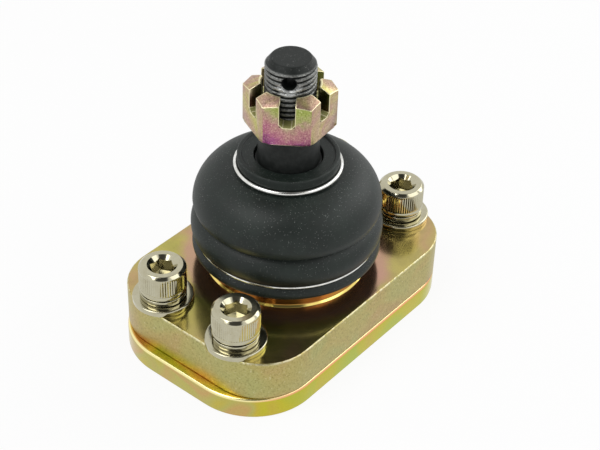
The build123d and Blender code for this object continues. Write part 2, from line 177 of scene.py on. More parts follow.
class Graph:
    """Node graph of one material, with a Principled shader at its end."""

    def __init__(self, name: str) -> None:
        """Make an empty material.

        Args:
            name: The material's name.
        """
        self.material = bpy.data.materials.new(name)
        self.material.use_nodes = True
        self.tree = self.material.node_tree
        self.tree.nodes.clear()
        self.output = self.tree.nodes.new("ShaderNodeOutputMaterial")
        self._place: bpy.types.NodeSocket | None = None
        self._normal: bpy.types.NodeSocket | None = None

    def node(self, kind: str, settings: dict[str, Any], sockets: dict[Any, Any]) -> bpy.types.Node:
        """Add a node.

        Args:
            kind: The node's type name.
            settings: Properties of the node, set first. "stops" holds a ramp's stops.
            sockets: Input name or number to a value, a Value or a socket to link.

        Returns:
            The new node.
        """
        node = self.tree.nodes.new(kind)
        for key, value in settings.items():
            if key == "stops":
                self._set_stops(node.color_ramp, value)
            else:
                setattr(node, key, value)
        for key, value in sockets.items():
            if isinstance(value, Value):
                value = value.socket
            if isinstance(value, bpy.types.NodeSocket):
                self.tree.links.new(value, node.inputs[key])
            else:
                node.inputs[key].default_value = value
        return node

    @staticmethod
    def _set_stops(ramp: bpy.types.ColorRamp, stops: Sequence[tuple[float, Colour]]) -> None:
        """Fill a colour ramp.

        Args:
            ramp: The ramp.
            stops: (position, colour) stops, in order.
        """
        while len(ramp.elements) > 1:
            ramp.elements.remove(ramp.elements[-1])
        for number, (position, colour) in enumerate(stops):
            element = ramp.elements[0] if number == 0 else ramp.elements.new(position)
            element.position = position
            element.color = (*colour, 1.0)

    def place(self) -> bpy.types.NodeSocket:
        """Make the surface point's nodes the first time they are asked for.

        Returns:
            The surface point in the object's own frame, in millimetres.
        """
        if self._place is None:
            source = self.node("ShaderNodeTexCoord", {}, {})
            scaled = self.node(
                "ShaderNodeVectorMath",
                {"operation": "SCALE"},
                {0: source.outputs["Object"], "Scale": 1 / MM},
            )
            self._place = scaled.outputs[0]
            self._normal = source.outputs["Normal"]
        return self._place

    def facing(self) -> tuple[Value, Value, Value]:
        """Split the surface normal.

        Returns:
            Its three parts in the object's own frame.
        """
        self.place()
        parts = self.node("ShaderNodeSeparateXYZ", {}, {0: self._normal})
        return tuple(Value(self, parts.outputs[axis]) for axis in range(3))

    def point(self) -> tuple[Value, Value, Value]:
        """Return the three parts of the surface point, in millimetres."""
        parts = self.node("ShaderNodeSeparateXYZ", {}, {0: self.place()})
        return tuple(Value(self, parts.outputs[axis]) for axis in range(3))

    def scaled_place(self, factors: Colour, shift: Colour = (0.0, 0.0, 0.0)) -> bpy.types.NodeSocket:
        """Return the surface point stretched along each axis, then shifted.

        Args:
            factors: Factor along each axis.
            shift: Shift after the stretch.

        Returns:
            The vector socket.
        """
        node = self.node(
            "ShaderNodeVectorMath",
            {"operation": "MULTIPLY_ADD"},
            {0: self.place(), 1: factors, 2: shift},
        )
        return node.outputs[0]

    def noise(
        self,
        size: float,
        detail: float = 2.0,
        rough: float = 0.5,
        where: bpy.types.NodeSocket | None = None,
        warp: float = 0.0,
    ) -> Value:
        """Return smooth noise from 0 to 1.

        Args:
            size: Size of one patch, in millimetres.
            detail: Levels of finer detail.
            rough: Strength of the finer detail.
            where: The place to read, or None for the surface point.
            warp: Distortion of the patches.

        Returns:
            The noise value.
        """
        node = self.node(
            "ShaderNodeTexNoise",
            {},
            {
                "Vector": where or self.place(),
                "Scale": 1 / size,
                "Detail": detail,
                "Roughness": rough,
                "Distortion": warp,
            },
        )
        return Value(self, node.outputs["Fac"])

    def specks(self, spacing: float, radius: float, keep: float) -> Value:
        """Return small scattered dots, 1 inside a dot.

        Args:
            spacing: Distance between dots, in millimetres.
            radius: Radius of a dot as a share of the spacing.
            keep: Share of the dots that show.

        Returns:
            The mask value.
        """
        cells = self.node(
            "ShaderNodeTexVoronoi", {}, {"Vector": self.place(), "Scale": 1 / spacing}
        )
        pick = self.node("ShaderNodeSeparateColor", {}, {0: cells.outputs["Color"]})
        dot = Value(self, cells.outputs["Distance"]).step(radius, radius * 0.4)
        return dot * Value(self, pick.outputs[0]).step(keep, keep * 0.8)

    def ramp(self, value: Value, stops: Sequence[tuple[float, Colour]]) -> bpy.types.NodeSocket:
        """Return the colour of a ramp at a value."""
        return self.node("ShaderNodeValToRGB", {"stops": stops}, {"Fac": value}).outputs["Color"]

    def mix(self, factor: Any, first: Any, second: Any, kind: str = "MIX") -> bpy.types.NodeSocket:
        """Return two colours mixed.

        Args:
            factor: Share of the second colour.
            first: First colour or socket.
            second: Second colour or socket.
            kind: Blend type.

        Returns:
            The mixed colour.
        """
        first = (*first, 1.0) if isinstance(first, tuple) else first
        second = (*second, 1.0) if isinstance(second, tuple) else second
        node = self.node(
            "ShaderNodeMix",
            {"data_type": "RGBA", "blend_type": kind},
            {"Factor": factor, 6: first, 7: second},
        )
        return node.outputs[2]

    def bump(self, height: Value, strength: float, depth: float, under: Any = None) -> bpy.types.NodeSocket:
        """Return a bumped normal.

        Args:
            height: Height value.
            strength: Share of the bump that shows.
            depth: Height of 1, in millimetres.
            under: Normal to bump further, or None.

        Returns:
            The normal socket.
        """
        sockets = {"Height": height, "Strength": strength, "Distance": depth * MM}
        if under is not None:
            sockets["Normal"] = under
        return self.node("ShaderNodeBump", {}, sockets).outputs["Normal"]

    def finish(self, sockets: dict[str, Any]) -> bpy.types.Material:
        """End the graph with a Principled shader.

        Args:
            sockets: Shader input name to a value, a Value or a socket.

        Returns:
            The material.
        """
        shader = self.node("ShaderNodeBsdfPrincipled", {}, sockets)
        self.tree.links.new(shader.outputs[0], self.output.inputs["Surface"])
        return self.material


# ------------------------------------------------------------------- finishes


@dataclass(frozen=True)
class ZincFilm:
    """Yellow chromate film on zinc, whose colour drifts in broad patches.

    Attributes:
        stops: Film colours from one end of the drift to the other.
        patch: Size of a colour patch, in millimetres.
        contrast: How far the drift goes to both ends.
    """

    stops: tuple[tuple[float, Colour], ...]
    patch: float = 30.0
    contrast: float = 2.2

    def colour(self, graph: Graph, shift: Value | float = 0.0) -> bpy.types.NodeSocket:
        """Return the film's colour.

        Args:
            graph: The material's graph.
            shift: Moves the drift towards the last colour.

        Returns:
            The colour socket.
        """
        broad = graph.noise(self.patch, 1.5, 0.45, warp=0.8)
        return graph.ramp((broad - 0.5) * self.contrast + 0.5 + shift, self.stops)


@dataclass(frozen=True)
class PlateFinish:
    """Plate with a polished top, a grained side and pale worn arrises, painted with a highlight on its rim,
    glints in its side and a shadow along its foot.

    Attributes:
        name: Name of the material.
        top: Film on the faces that look up.
        side: Film on the sides.
        edge: Colour where the film is worn along the top arris, also painted on as glints in the side.
        rim: Colour painted on a rounded rim, from the top to the side, as its highlight.
        long_rim_highlight: Colour of that painted highlight along the long sides.
        rim_highlight_share: How much of that painted highlight shows.
        side_drift: How far the sides' film drifts from the long sides to the ends.
        halo: Colour of the top near the housing.
        halo_share: How much of that colour shows.
        top_level: Height of the top face, in millimetres.
        foot_level: Height of the bottom face, in millimetres.
        foot_shade: Strength of the painted shadow along the foot of the long sides.
        wear: Share of the arris that is worn.
        top_roughness: Roughness of the polished top.
        side_roughness: Roughness of the sides.
        pits_and_glints: Strength of the dark pits in the side, and of the painted glints between them.
        grain: Depth of the side's grain, in millimetres.
        pit_tint: Tint of the pits.
        foot_shadow_tint: Colour multiplied into the foot for that painted shadow.
        cloud_colour: Colour of the top's darker clouds.
        halo_outer: Radius where the colour near the housing starts, in millimetres.
        halo_inner: Radius where it is full, in millimetres.
    """

    name: str
    top: ZincFilm
    side: ZincFilm
    edge: Colour = (0.74, 0.70, 0.50)
    rim: Colour = (1.0, 0.90, 0.45)
    long_rim_highlight: Colour = (0.95, 0.40, 0.24)
    rim_highlight_share: float = 0.0
    side_drift: float = 0.0
    halo: Colour = (0.54, 0.29, 0.25)
    halo_share: float = 0.0
    top_level: float = 19.2
    foot_level: float = 0.0
    foot_shade: float = 0.0
    wear: float = 0.7
    top_roughness: float = 0.16
    side_roughness: float = 0.40
    pits_and_glints: float = 0.5
    grain: float = 0.05
    pit_tint: Colour = (0.55, 0.53, 0.48)
    foot_shadow_tint: Colour = (0.38, 0.14, 0.10)
    cloud_colour: Colour = (0.30, 0.24, 0.10)
    halo_outer: float = 31.5
    halo_inner: float = 27.5

    def make(self) -> bpy.types.Material:
        """Wire the material's nodes.

        Returns:
            The finished material.
        """
        graph = Graph(self.name)
        x, y, height = graph.point()
        _, y_facing, up = graph.facing()
        along = abs(y_facing).step(0.5, 0.9)
        top = up.step(0.80, 0.97)
        grit = graph.noise(0.55, 3.0, 0.75)
        side = self.side.colour(graph, (0.5 - along) * self.side_drift)
        pits = grit.step(0.52, 0.30) * self.pits_and_glints
        side = graph.mix(pits, side, graph.mix(1.0, side, self.pit_tint, "MULTIPLY"))
        # Pale specks in the grain: painted glints.
        glints = grit.step(0.60, 0.74) * self.pits_and_glints
        side = graph.mix(glints, side, self.edge)
        rub = graph.noise(1.3, 3.0, 0.7).step(0.38, 0.60)
        worn = height.step(self.top_level - 0.75, self.top_level - 0.12) * rub * self.wear
        side = graph.mix(worn, side, self.edge)
        # Painted shadow along the foot of the long sides, over the plate below.
        shaded = graph.mix(1.0, side, self.foot_shadow_tint, "MULTIPLY")
        foot_shadow = height.step(self.foot_level + 0.75, self.foot_level + 0.35) * along
        side = graph.mix(foot_shadow * self.foot_shade, side, shaded)
        cloud = graph.noise(5.0, 4.0, 0.6)
        film = graph.mix(cloud.step(0.62, 0.30) * 0.3, self.top.colour(graph), self.cloud_colour)
        radius = (x * x + y * y).power(0.5) + (cloud - 0.5) * 4.0
        near = radius.step(self.halo_outer, self.halo_inner) * self.halo_share
        film = graph.mix(near, film, self.halo)
        colour = graph.mix(top, side, film)
        # Painted highlight along the rounded rim, warmer on the long sides.
        rim = graph.mix(along, self.rim, self.long_rim_highlight)
        colour = graph.mix(up.step(0.12, 0.4) * (1.0 - top) * self.rim_highlight_share, colour, rim)
        top_rough = (cloud - 0.5) * 0.10 + self.top_roughness
        side_rough = (grit - 0.5) * 0.25 + self.side_roughness
        return graph.finish(
            {
                "Base Color": colour,
                "Metallic": 1.0 - top * 0.04,
                "Roughness": top_rough * top + side_rough * (1.0 - top),
                "Normal": graph.bump(grit * (1.0 - top), 0.5, self.grain),
            }
        )


@dataclass(frozen=True)
class TurnedZinc:
    """Turned housing under film, with faint tool rings and a painted highlight on the collar's foot.

    Attributes:
        film: Colours of the film.
        name: Name of the material.
        foot: Bright colour painted on the collar's sloped foot as its highlight.
        foot_level: Height where the foot stands on the plate, in millimetres.
        roughness: Roughness of the surface.
    """

    film: ZincFilm
    name: str = "housing_film"
    foot: Colour = (0.88, 0.68, 0.20)
    foot_level: float = 19.2
    roughness: float = 0.12

    def make(self) -> bpy.types.Material:
        """Wire the material's nodes.

        Returns:
            The finished material.
        """
        graph = Graph(self.name)
        rings = graph.noise(0.25, 2.0, 0.5, graph.scaled_place((0.03, 0.03, 1.0)))
        cloud = graph.noise(2.5, 3.0, 0.6)
        # The sloped foot is painted bright yellow: a painted highlight.
        foot = graph.point()[2].step(self.foot_level + 0.6, self.foot_level + 0.4)
        return graph.finish(
            {
                "Base Color": graph.mix(foot, self.film.colour(graph), self.foot),
                "Metallic": 1.0,
                "Roughness": (cloud - 0.5) * 0.08 + self.roughness,
                "Normal": graph.bump(rings, 0.3, 0.02),
            }
        )


@dataclass(frozen=True)
class NutZinc:
    """Forged nut under film: one flat stained magenta, the others tan, pink and olive. Its slots carry
    painted shade; its edges carry wear and a painted highlight.

    Attributes:
        name: Name of the material.
        film: Colours of most of the nut.
        stain: Colours of the stained flat, from its slot out to its lower corners.
        turn: Direction that the stained flat looks in, in degrees from +X.
        foot: Height of the nut's foot, in millimetres.
        slot: Half the width of the slots, in millimetres.
        slot_corner: Size of the sloped corners at the slots' bottom, in millimetres.
        slot_bottom: Height of the slots' bottom above the foot, in millimetres.
        wear: Share of bright colour over the whole surface: worn metal and painted highlight, for the rounded
            edges.
        roughness: Roughness of the surface.
        pit_tint: Tint of the pits.
        bright: Colour of bright worn metal, also painted on as highlight.
        wall_shade_tint: Colour multiplied into the slots' walls and the bore as painted shade.
        floor_shade_colour: Dark, dull colour of the slots' floors, as painted shade.
    """

    name: str
    film: ZincFilm
    stain: tuple[tuple[float, Colour], ...]
    turn: float = 215.5
    foot: float = 65.9
    slot: float = 2.05
    slot_corner: float = 0.9
    slot_bottom: float = 5.4
    wear: float = 0.0
    roughness: float = 0.34
    pit_tint: Colour = (0.52, 0.50, 0.47)
    bright: Colour = (0.88, 0.82, 0.52)
    wall_shade_tint: Colour = (0.16, 0.19, 0.10)
    floor_shade_colour: Colour = (0.34, 0.33, 0.12)

    def _slots(self, graph: Graph) -> tuple[Value, Value, Value]:
        """Mask the parts of the slots.

        Args:
            graph: The material's graph.

        Returns:
            Masks of the slots' walls with the bore, of their floors and of their arrises.
        """
        x, y, height = graph.point()
        radius = (x * x + y * y).power(0.5)
        bottom = self.foot + self.slot_bottom
        over = height - bottom
        inside, grown = radius.step(7.75, 7.65), 0.0
        for number in range(3):
            turn = radians(self.turn + 60 * number)
            aside = abs(y * cos(turn) - x * sin(turn))
            inside = inside.larger(aside.step(self.slot + 0.08, self.slot + 0.03))
            side = aside.step(self.slot + 0.25, self.slot + 0.15)
            end = self.slot - self.slot_corner
            sloped = (aside - over).step(end + 0.35, end + 0.2)
            grown = (side * sloped).larger(grown)
        level = abs(graph.facing()[2]).step(0.4, 0.6)
        walls = inside * (1.0 - level) * over.step(0.0, 0.3)
        floors = inside * level * over.step(1.2, 0.9)
        arris = grown * over.step(-0.25, -0.15) * radius.step(8.0, 8.4)
        return walls, floors, arris * (1.0 - walls) * (1.0 - floors)

    def make(self) -> bpy.types.Material:
        """Wire the material's nodes.

        Returns:
            The finished material.
        """
        graph = Graph(self.name)
        x_facing, y_facing, z_facing = graph.facing()
        x, y, height = graph.point()
        turn = radians(self.turn)
        ahead = (x_facing * cos(turn) + y_facing * sin(turn)).step(0.75, 0.97)
        across = y * cos(turn) - x * sin(turn)
        drop = (self.foot + 10.6 - height) * 0.085 + (abs(across) - 3.2) * 0.05 - across * 0.02
        blotch = graph.noise(2.2, 3.0, 0.6)
        stained = graph.ramp(drop + (blotch - 0.5) * 0.6, self.stain)
        colour = graph.mix(ahead, self.film.colour(graph, z_facing * 0.1), stained)
        grit = graph.noise(0.42, 3.0, 0.75)
        dark = graph.mix(1.0, colour, self.pit_tint, "MULTIPLY")
        colour = graph.mix(grit.step(0.53, 0.36) * 0.75, colour, dark)
        corner = (x * x + y * y).power(0.5).step(11.5, 12.0) * abs(z_facing).step(0.5, 0.2)
        walls, floors, arris = self._slots(graph)
        # Bright specks and edges: partly worn metal, partly painted glints and highlight.
        wear_and_highlight = grit.step(0.56, 0.70) * 0.55 + (1.0 - corner) * self.wear
        wear_and_highlight = wear_and_highlight.larger(arris * 0.8)
        colour = graph.mix(wear_and_highlight, colour, self.bright)
        # Painted shade on the slots' walls and the bore, and a dark, dull painted shade on their floors.
        shaded = graph.mix(1.0, colour, self.wall_shade_tint, "MULTIPLY")
        colour = graph.mix(walls * (1.0 - self.wear), colour, shaded)
        colour = graph.mix(floors * (1.0 - self.wear), colour, self.floor_shade_colour)
        return graph.finish(
            {
                "Base Color": colour,
                "Metallic": 1.0 - floors * 0.8,
                "Roughness": (grit - 0.5) * 0.2 + self.roughness,
                "Normal": graph.bump(grit, 0.6, 0.06),
            }
        )


@dataclass(frozen=True)
class BrightMetal:
    """Plain plated metal, such as nickel screws and spring wire.

    Attributes:
        name: Name of the material.
        colour: Colour of the plating.
        dull: Colour in the duller patches.
        roughness: Roughness of the plating.
        marks: Colour of the small dark marks.
    """

    name: str
    colour: Colour
    dull: Colour
    roughness: float = 0.12
    marks: Colour = (0.10, 0.09, 0.07)

    def make(self) -> bpy.types.Material:
        """Wire the material's nodes.

        Returns:
            The finished material.
        """
        graph = Graph(self.name)
        cloud = graph.noise(2.2, 3.0, 0.6)
        fine = graph.noise(0.3, 3.0, 0.7)
        marks = graph.specks(0.9, 0.12, 0.35)
        colour = graph.mix(cloud.step(0.35, 0.75) * 0.6, self.colour, self.dull)
        colour = graph.mix(marks * 0.7, colour, self.marks)
        return graph.finish(
            {
                "Base Color": colour,
                "Metallic": 1.0,
                "Roughness": (cloud - 0.5) * 0.1 + self.roughness,
                "Normal": graph.bump(fine, 0.3, 0.012),
            }
        )


@dataclass(frozen=True)
class BootRubber:
    """Moulded black rubber with a dry bloom and pale dust.

    Attributes:
        name: Name of the material.
        colour: Colour of clean rubber.
        bloom: Colour of the dry bloom.
        dust: Colour of the dust specks.
        roughness: Roughness of the rubber.
        specular: Strength of its gloss.
    """

    name: str = "boot_rubber"
    colour: Colour = (0.0032, 0.0074, 0.0052)
    bloom: Colour = (0.0098, 0.0168, 0.0130)
    dust: Colour = (0.30, 0.32, 0.30)
    roughness: float = 0.50
    specular: float = 0.37

    def make(self) -> bpy.types.Material:
        """Wire the material's nodes.

        Returns:
            The finished material.
        """
        graph = Graph(self.name)
        cloud = graph.noise(7.0, 4.0, 0.6)
        skin = graph.noise(0.22, 2.0, 0.6)
        colour = graph.mix(cloud.step(0.35, 0.75), self.colour, self.bloom)
        lying = graph.facing()[2].step(-0.3, 0.6) * 0.85 + 0.15
        fine = graph.specks(0.45, 0.28, 0.45) * 0.42
        coarse = graph.specks(0.9, 0.14, 0.70) * 0.8
        patch = graph.noise(6.0, 2.0, 0.5).step(0.35, 0.60) * 0.7 + 0.3
        colour = graph.mix((fine + coarse) * lying * patch, colour, self.dust)
        return graph.finish(
            {
                "Base Color": colour,
                "Metallic": 0.0,
                "Roughness": (cloud - 0.5) * 0.16 + self.roughness,
                "Specular IOR Level": self.specular,
                "Normal": graph.bump(skin, 0.35, 0.05),
            }
        )


@dataclass(frozen=True)
class Phosphate:
    """Dark phosphate on forged steel, rubbed bright on the thread and at the drilled hole.

    Attributes:
        name: Name of the material.
        colour: Colour of the coating.
        rubbed: Colour where the coating is rubbed.
        crest: Radius of the thread's crest, in millimetres.
        thread_from: Height where the thread starts, in millimetres.
        hole_level: Height of the drilled hole, in millimetres.
        hole_turn: Direction of the hole, in degrees from +X.
        tip_level: Height over which the tip is nicked, in millimetres.
        cloudy: Colour of the coating's paler clouds.
        crown: Colour of the faces that look up.
        burr: Colour of the bright rim under the hole.
    """

    name: str = "stud_phosphate"
    colour: Colour = (0.010, 0.012, 0.011)
    rubbed: Colour = (0.33, 0.335, 0.32)
    crest: float = 6.95
    thread_from: float = 66.0
    hole_level: float = 80.63
    hole_turn: float = 35.5
    tip_level: float = 83.2
    cloudy: Colour = (0.034, 0.037, 0.035)
    crown: Colour = (0.008, 0.011, 0.009)
    burr: Colour = (0.55, 0.56, 0.55)

    def make(self) -> bpy.types.Material:
        """Wire the material's nodes.

        Returns:
            The finished material.
        """
        graph = Graph(self.name)
        x, y, height = graph.point()
        radius = (x * x + y * y).power(0.5)
        cloud = graph.noise(2.0, 4.0, 0.65)
        scratch = graph.noise(0.55, 3.0, 0.75, graph.scaled_place((1.0, 1.0, 3.0)))
        threaded = height.step(self.thread_from, self.thread_from + 0.5)
        crest = radius.step(self.crest - 0.5, self.crest - 0.1) * threaded
        crest = crest * (scratch.step(0.34, 0.60) * 0.75 + 0.25)
        turn = radians(self.hole_turn)
        aside = x * sin(turn) - y * cos(turn)
        below = height - self.hole_level
        away = (aside * aside + below * below).power(0.5)
        burr = away.step(4.2, 3.0) * radius.step(5.9, 6.2) * below.step(0.4, -1.0)
        burr = burr * scratch.step(0.36, 0.52)
        colour = graph.mix(cloud.step(0.3, 0.8) * 0.6, self.colour, self.cloudy)
        crown = graph.facing()[2].step(0.3, 0.9)
        colour = graph.mix(crown * 0.55, colour, self.crown)
        tip = height.step(self.tip_level, self.tip_level + 0.4)
        nicks = graph.noise(0.7, 3.0, 0.8, warp=1.0).step(0.60, 0.70) * tip
        colour = graph.mix(nicks * 0.35, colour, self.rubbed)
        colour = graph.mix(crest * 0.8, colour, self.rubbed)
        colour = graph.mix(burr, colour, self.burr)
        return graph.finish(
            {
                "Base Color": colour,
                "Metallic": (crest + burr).step(0.0, 0.6) * 0.7 + 0.15,
                "Roughness": (cloud - 0.5) * 0.2 + 0.46,
                "Specular IOR Level": 0.25,
                "Normal": graph.bump(scratch, 0.3, 0.05),
            }
        )


@dataclass(frozen=True)
class Plain:
    """Simple grained finish for the pieces that are hidden inside.

    Attributes:
        name: Name of the material.
        colour: Main colour.
        shade: Colour of the grain.
        metallic: 1 for metal, 0 for plastic.
        roughness: Roughness of the surface.
    """

    name: str
    colour: Colour
    shade: Colour
    metallic: float
    roughness: float

    def make(self) -> bpy.types.Material:
        """Wire the material's nodes.

        Returns:
            The finished material.
        """
        graph = Graph(self.name)
        cloud = graph.noise(1.5, 3.0, 0.6)
        return graph.finish(
            {
                "Base Color": graph.mix(cloud, self.colour, self.shade),
                "Metallic": self.metallic,
                "Roughness": (cloud - 0.5) * 0.15 + self.roughness,
                "Normal": graph.bump(cloud, 0.2, 0.03),
            }
        )


# ----------------------------------------------------------------- mesh tools


@dataclass(frozen=True)
class Corner:
    """One corner of a profile.

    Attributes:
        r: Distance from the axis, in millimetres.
        z: Height, in millimetres.
        soft: Length of the rounding on each side of the corner, in millimetres.
    """

    r: float
    z: float
    soft: float = 0.0


def softened(corners: Sequence[Corner], closed: bool = False, steps: int = 4) -> list[Point]:
    """Round the corners of a profile.

    Args:
        corners: The profile's corners in order.
        closed: Whether the last corner joins the first.
        steps: Points along each rounding.

    Returns:
        The profile's points.
    """
    points: list[Point] = []
    count = len(corners)
    for number, corner in enumerate(corners):
        at_end = not closed and number in (0, count - 1)
        if corner.soft <= 0 or at_end:
            points.append((corner.r, corner.z))
            continue
        here = Vector((corner.r, corner.z))
        before = corners[number - 1]
        after = corners[(number + 1) % count]
        back = Vector((before.r, before.z)) - here
        ahead = Vector((after.r, after.z)) - here
        start = here + back.normalized() * min(corner.soft, back.length / 2)
        end = here + ahead.normalized() * min(corner.soft, ahead.length / 2)
        for step in range(steps + 1):
            t = step / steps
            spot = start * (1 - t) ** 2 + here * (2 * t * (1 - t)) + end * t**2
            points.append((spot.x, spot.y))
    return points


def arc(start: Point, middle: Point, end: Point, steps: int) -> list[Point]:
    """Return points on the circle through three points, from the first to the last.

    Args:
        start: First point.
        middle: A point between them on the circle.
        end: Last point.
        steps: Pieces that the arc is cut into.

    Returns:
        The arc's points.
    """
    (ax, ay), (bx, by), (cx, cy) = start, middle, end
    d = 2 * (ax * (by - cy) + bx * (cy - ay) + cx * (ay - by))
    aa, bb, cc = ax**2 + ay**2, bx**2 + by**2, cx**2 + cy**2
    ux = (aa * (by - cy) + bb * (cy - ay) + cc * (ay - by)) / d
    uy = (aa * (cx - bx) + bb * (ax - cx) + cc * (bx - ax)) / d
    radius = sqrt((ax - ux) ** 2 + (ay - uy) ** 2)
    first = atan2(ay - uy, ax - ux)
    mid = (atan2(by - uy, bx - ux) - first + pi) % tau - pi
    last = (atan2(cy - uy, cx - ux) - first + pi) % tau - pi
    if mid * last < 0:
        last += tau if mid > 0 else -tau
    return [
        (ux + radius * cos(first + last * n / steps), uy + radius * sin(first + last * n / steps))
        for n in range(steps + 1)
    ]


def mesh_object(
    name: str,
    points: Sequence[Sequence[float]],
    faces: Sequence[Sequence[int]],
    crease: float = 30.0,
) -> bpy.types.Object:
    """Make a smooth-shaded object from points in millimetres.

    Args:
        name: Name of the piece.
        points: Points in millimetres.
        faces: Corner numbers of each face.
        crease: Angle above which an edge stays sharp, in degrees.

    Returns:
        The new object.
    """
    mesh = bpy.data.meshes.new(name)
    mesh.from_pydata([(x * MM, y * MM, z * MM) for x, y, z in points], [], faces)
    work = bmesh.new()
    work.from_mesh(mesh)
    bmesh.ops.recalc_face_normals(work, faces=work.faces)
    work.to_mesh(mesh)
    work.free()
    mesh.shade_smooth()
    mesh.set_sharp_from_angle(angle=radians(crease))
    piece = bpy.data.objects.new(name, mesh)
    bpy.context.scene.collection.objects.link(piece)
    return piece


def turned(
    name: str,
    profile: Sequence[Point],
    columns: int = 160,
    closed: bool = False,
    shape: Callable[[float, float, float], float] | None = None,
    crease: float = 30.0,
) -> bpy.types.Object:
    """Turn a profile about the upright axis.

    Args:
        name: Name of the piece.
        profile: Points as (radius, height). An open profile starts and ends on the axis.
        columns: Points around.
        closed: Whether the profile is a loop, as on a ring.
        shape: Gives the radius from (radius, height, angle), for knurls and threads.
        crease: Angle above which an edge stays sharp, in degrees.

    Returns:
        The new object.
    """
    points: list[tuple[float, float, float]] = []
    rings: list[list[int]] = []
    for radius, height in profile:
        if radius < 1e-6:
            rings.append([len(points)] * columns)
            points.append((0.0, 0.0, height))
            continue
        rings.append(list(range(len(points), len(points) + columns)))
        for column in range(columns):
            angle = tau * column / columns
            r = shape(radius, height, angle) if shape else radius
            points.append((r * cos(angle), r * sin(angle), height))
    faces = []
    pairs = list(zip(rings, rings[1:] + rings[:1])) if closed else list(zip(rings, rings[1:]))
    for low, high in pairs:
        for column in range(columns):
            after = (column + 1) % columns
            corners = [low[column], low[after], high[after], high[column]]
            unique = list(dict.fromkeys(corners))
            if len(unique) > 2:
                faces.append(unique)
    return mesh_object(name, points, faces, crease)


def rounded_rectangle(length: float, width: float, corner: float, steps: int) -> list[Point]:
    """Return the outline of a rectangle with round corners.

    Args:
        length: Size along X.
        width: Size along Y.
        corner: Radius of each corner.
        steps: Pieces that each corner is cut into.

    Returns:
        The outline's points, anticlockwise.
    """
    outline = []
    for number, (side_x, side_y) in enumerate(((1, 1), (-1, 1), (-1, -1), (1, -1))):
        for step in range(steps + 1):
            angle = pi / 2 * (number + step / steps)
            outline.append(
                (
                    side_x * (length / 2 - corner) + corner * cos(angle),
                    side_y * (width / 2 - corner) + corner * sin(angle),
                )
            )
    return outline


def slab(name: str, length: float, width: float, corner: float, profile: Sequence[Point]) -> bpy.types.Object:
    """Make a plate with round corners and a shaped rim.

    Args:
        name: Name of the piece.
        length: Size along X.
        width: Size along Y.
        corner: Radius of each corner.
        profile: Points of the rim as (inset, height), from the bottom up.

    Returns:
        The new object.
    """
    corner_steps = 28
    points = []
    count = 4 * (corner_steps + 1)
    for inset, height in profile:
        outline = rounded_rectangle(
            length - 2 * inset, width - 2 * inset, corner - inset, corner_steps
        )
        points += [(x, y, height) for x, y in outline]
    faces = [list(range(count))[::-1], list(range(len(points) - count, len(points)))]
    for row in range(len(profile) - 1):
        for column in range(count):
            after = (column + 1) % count
            low, high = row * count, (row + 1) * count
            faces.append([low + column, low + after, high + after, high + column])
    return mesh_object(name, points, faces)


def swept_ring(
    name: str,
    section: Sequence[Point],
    start: float,
    sweep: float,
    rise: float,
    steps: int,
) -> bpy.types.Object:
    """Sweep a section round the axis with open ends and a steady climb.

    Args:
        name: Name of the piece.
        section: Section's loop as (radius, height), convex.
        start: Angle where the sweep starts, in radians.
        sweep: Angle that it turns through, in radians.
        rise: Climb from the start to the end, in millimetres.
        steps: Pieces that the sweep is cut into.

    Returns:
        The new object.
    """
    count = len(section)
    points = []
    for step in range(steps + 1):
        angle = start + sweep * step / steps
        lift = rise * step / steps
        points += [(r * cos(angle), r * sin(angle), z + lift) for r, z in section]
    faces = [list(range(count)), list(range(steps * count, (steps + 1) * count))[::-1]]
    for step in range(steps):
        for n in range(count):
            after = (n + 1) % count
            low, high = step * count, (step + 1) * count
            faces.append([low + n, low + after, high + after, high + n])
    return mesh_object(name, points, faces, 50.0)


def apply_modifiers(piece: bpy.types.Object) -> None:
    """Bake a piece's modifiers into its mesh.

    Args:
        piece: The piece.
    """
    bpy.context.view_layer.update()
    graph = bpy.context.evaluated_depsgraph_get()
    mesh = bpy.data.meshes.new_from_object(piece.evaluated_get(graph), depsgraph=graph)
    piece.modifiers.clear()
    piece.data = mesh


def carve(piece: bpy.types.Object, cutters: Sequence[bpy.types.Object], keep_common: bool = False) -> None:
    """Cut other solids out of a piece, and delete them.

    Args:
        piece: The solid that is cut.
        cutters: The solids to cut with.
        keep_common: True keeps only what the piece shares with the cutters.
    """
    for cutter in cutters:
        cut = piece.modifiers.new("cut", "BOOLEAN")
        cut.operation = "INTERSECT" if keep_common else "DIFFERENCE"
        cut.solver = "EXACT"
        cut.object = cutter
        apply_modifiers(piece)
        bpy.data.objects.remove(cutter)


def soften_edges(
    piece: bpy.types.Object, width: float, angle: float, shortest: float = 0.3, rows: int = 2
) -> None:
    """Round a piece's sharp edges. The roundings take the piece's second finish.

    Args:
        piece: The piece to soften.
        width: Width of the rounding, in millimetres.
        angle: Smallest angle between faces that is rounded, in degrees.
        shortest: Edges shorter than this are closed up first, in millimetres.
        rows: Rows of faces along each rounding.
    """
    piece.data.materials.clear()
    for number in range(2):
        piece.data.materials.append(bpy.data.materials.new(f"{piece.name}_{number}"))
    weld = piece.modifiers.new("weld", "WELD")
    weld.merge_threshold = shortest * MM
    clean = piece.modifiers.new("clean", "DECIMATE")
    clean.decimate_type = "DISSOLVE"
    clean.angle_limit = radians(0.4)
    bevel = piece.modifiers.new("soft", "BEVEL")
    bevel.width = width * MM
    bevel.segments = rows
    bevel.limit_method = "ANGLE"
    bevel.angle_limit = radians(angle)
    bevel.use_clamp_overlap = True
    bevel.material = 1
    apply_modifiers(piece)
    piece.data.shade_smooth()
    piece.data.set_sharp_from_angle(angle=radians(40))


def rod(name: str, radius: float, low: float, high: float, columns: int = 64) -> bpy.types.Object:
    """Make an upright cylinder for use as a cutter."""
    return turned(name, [(0, low), (radius, low), (radius, high), (0, high)], columns)


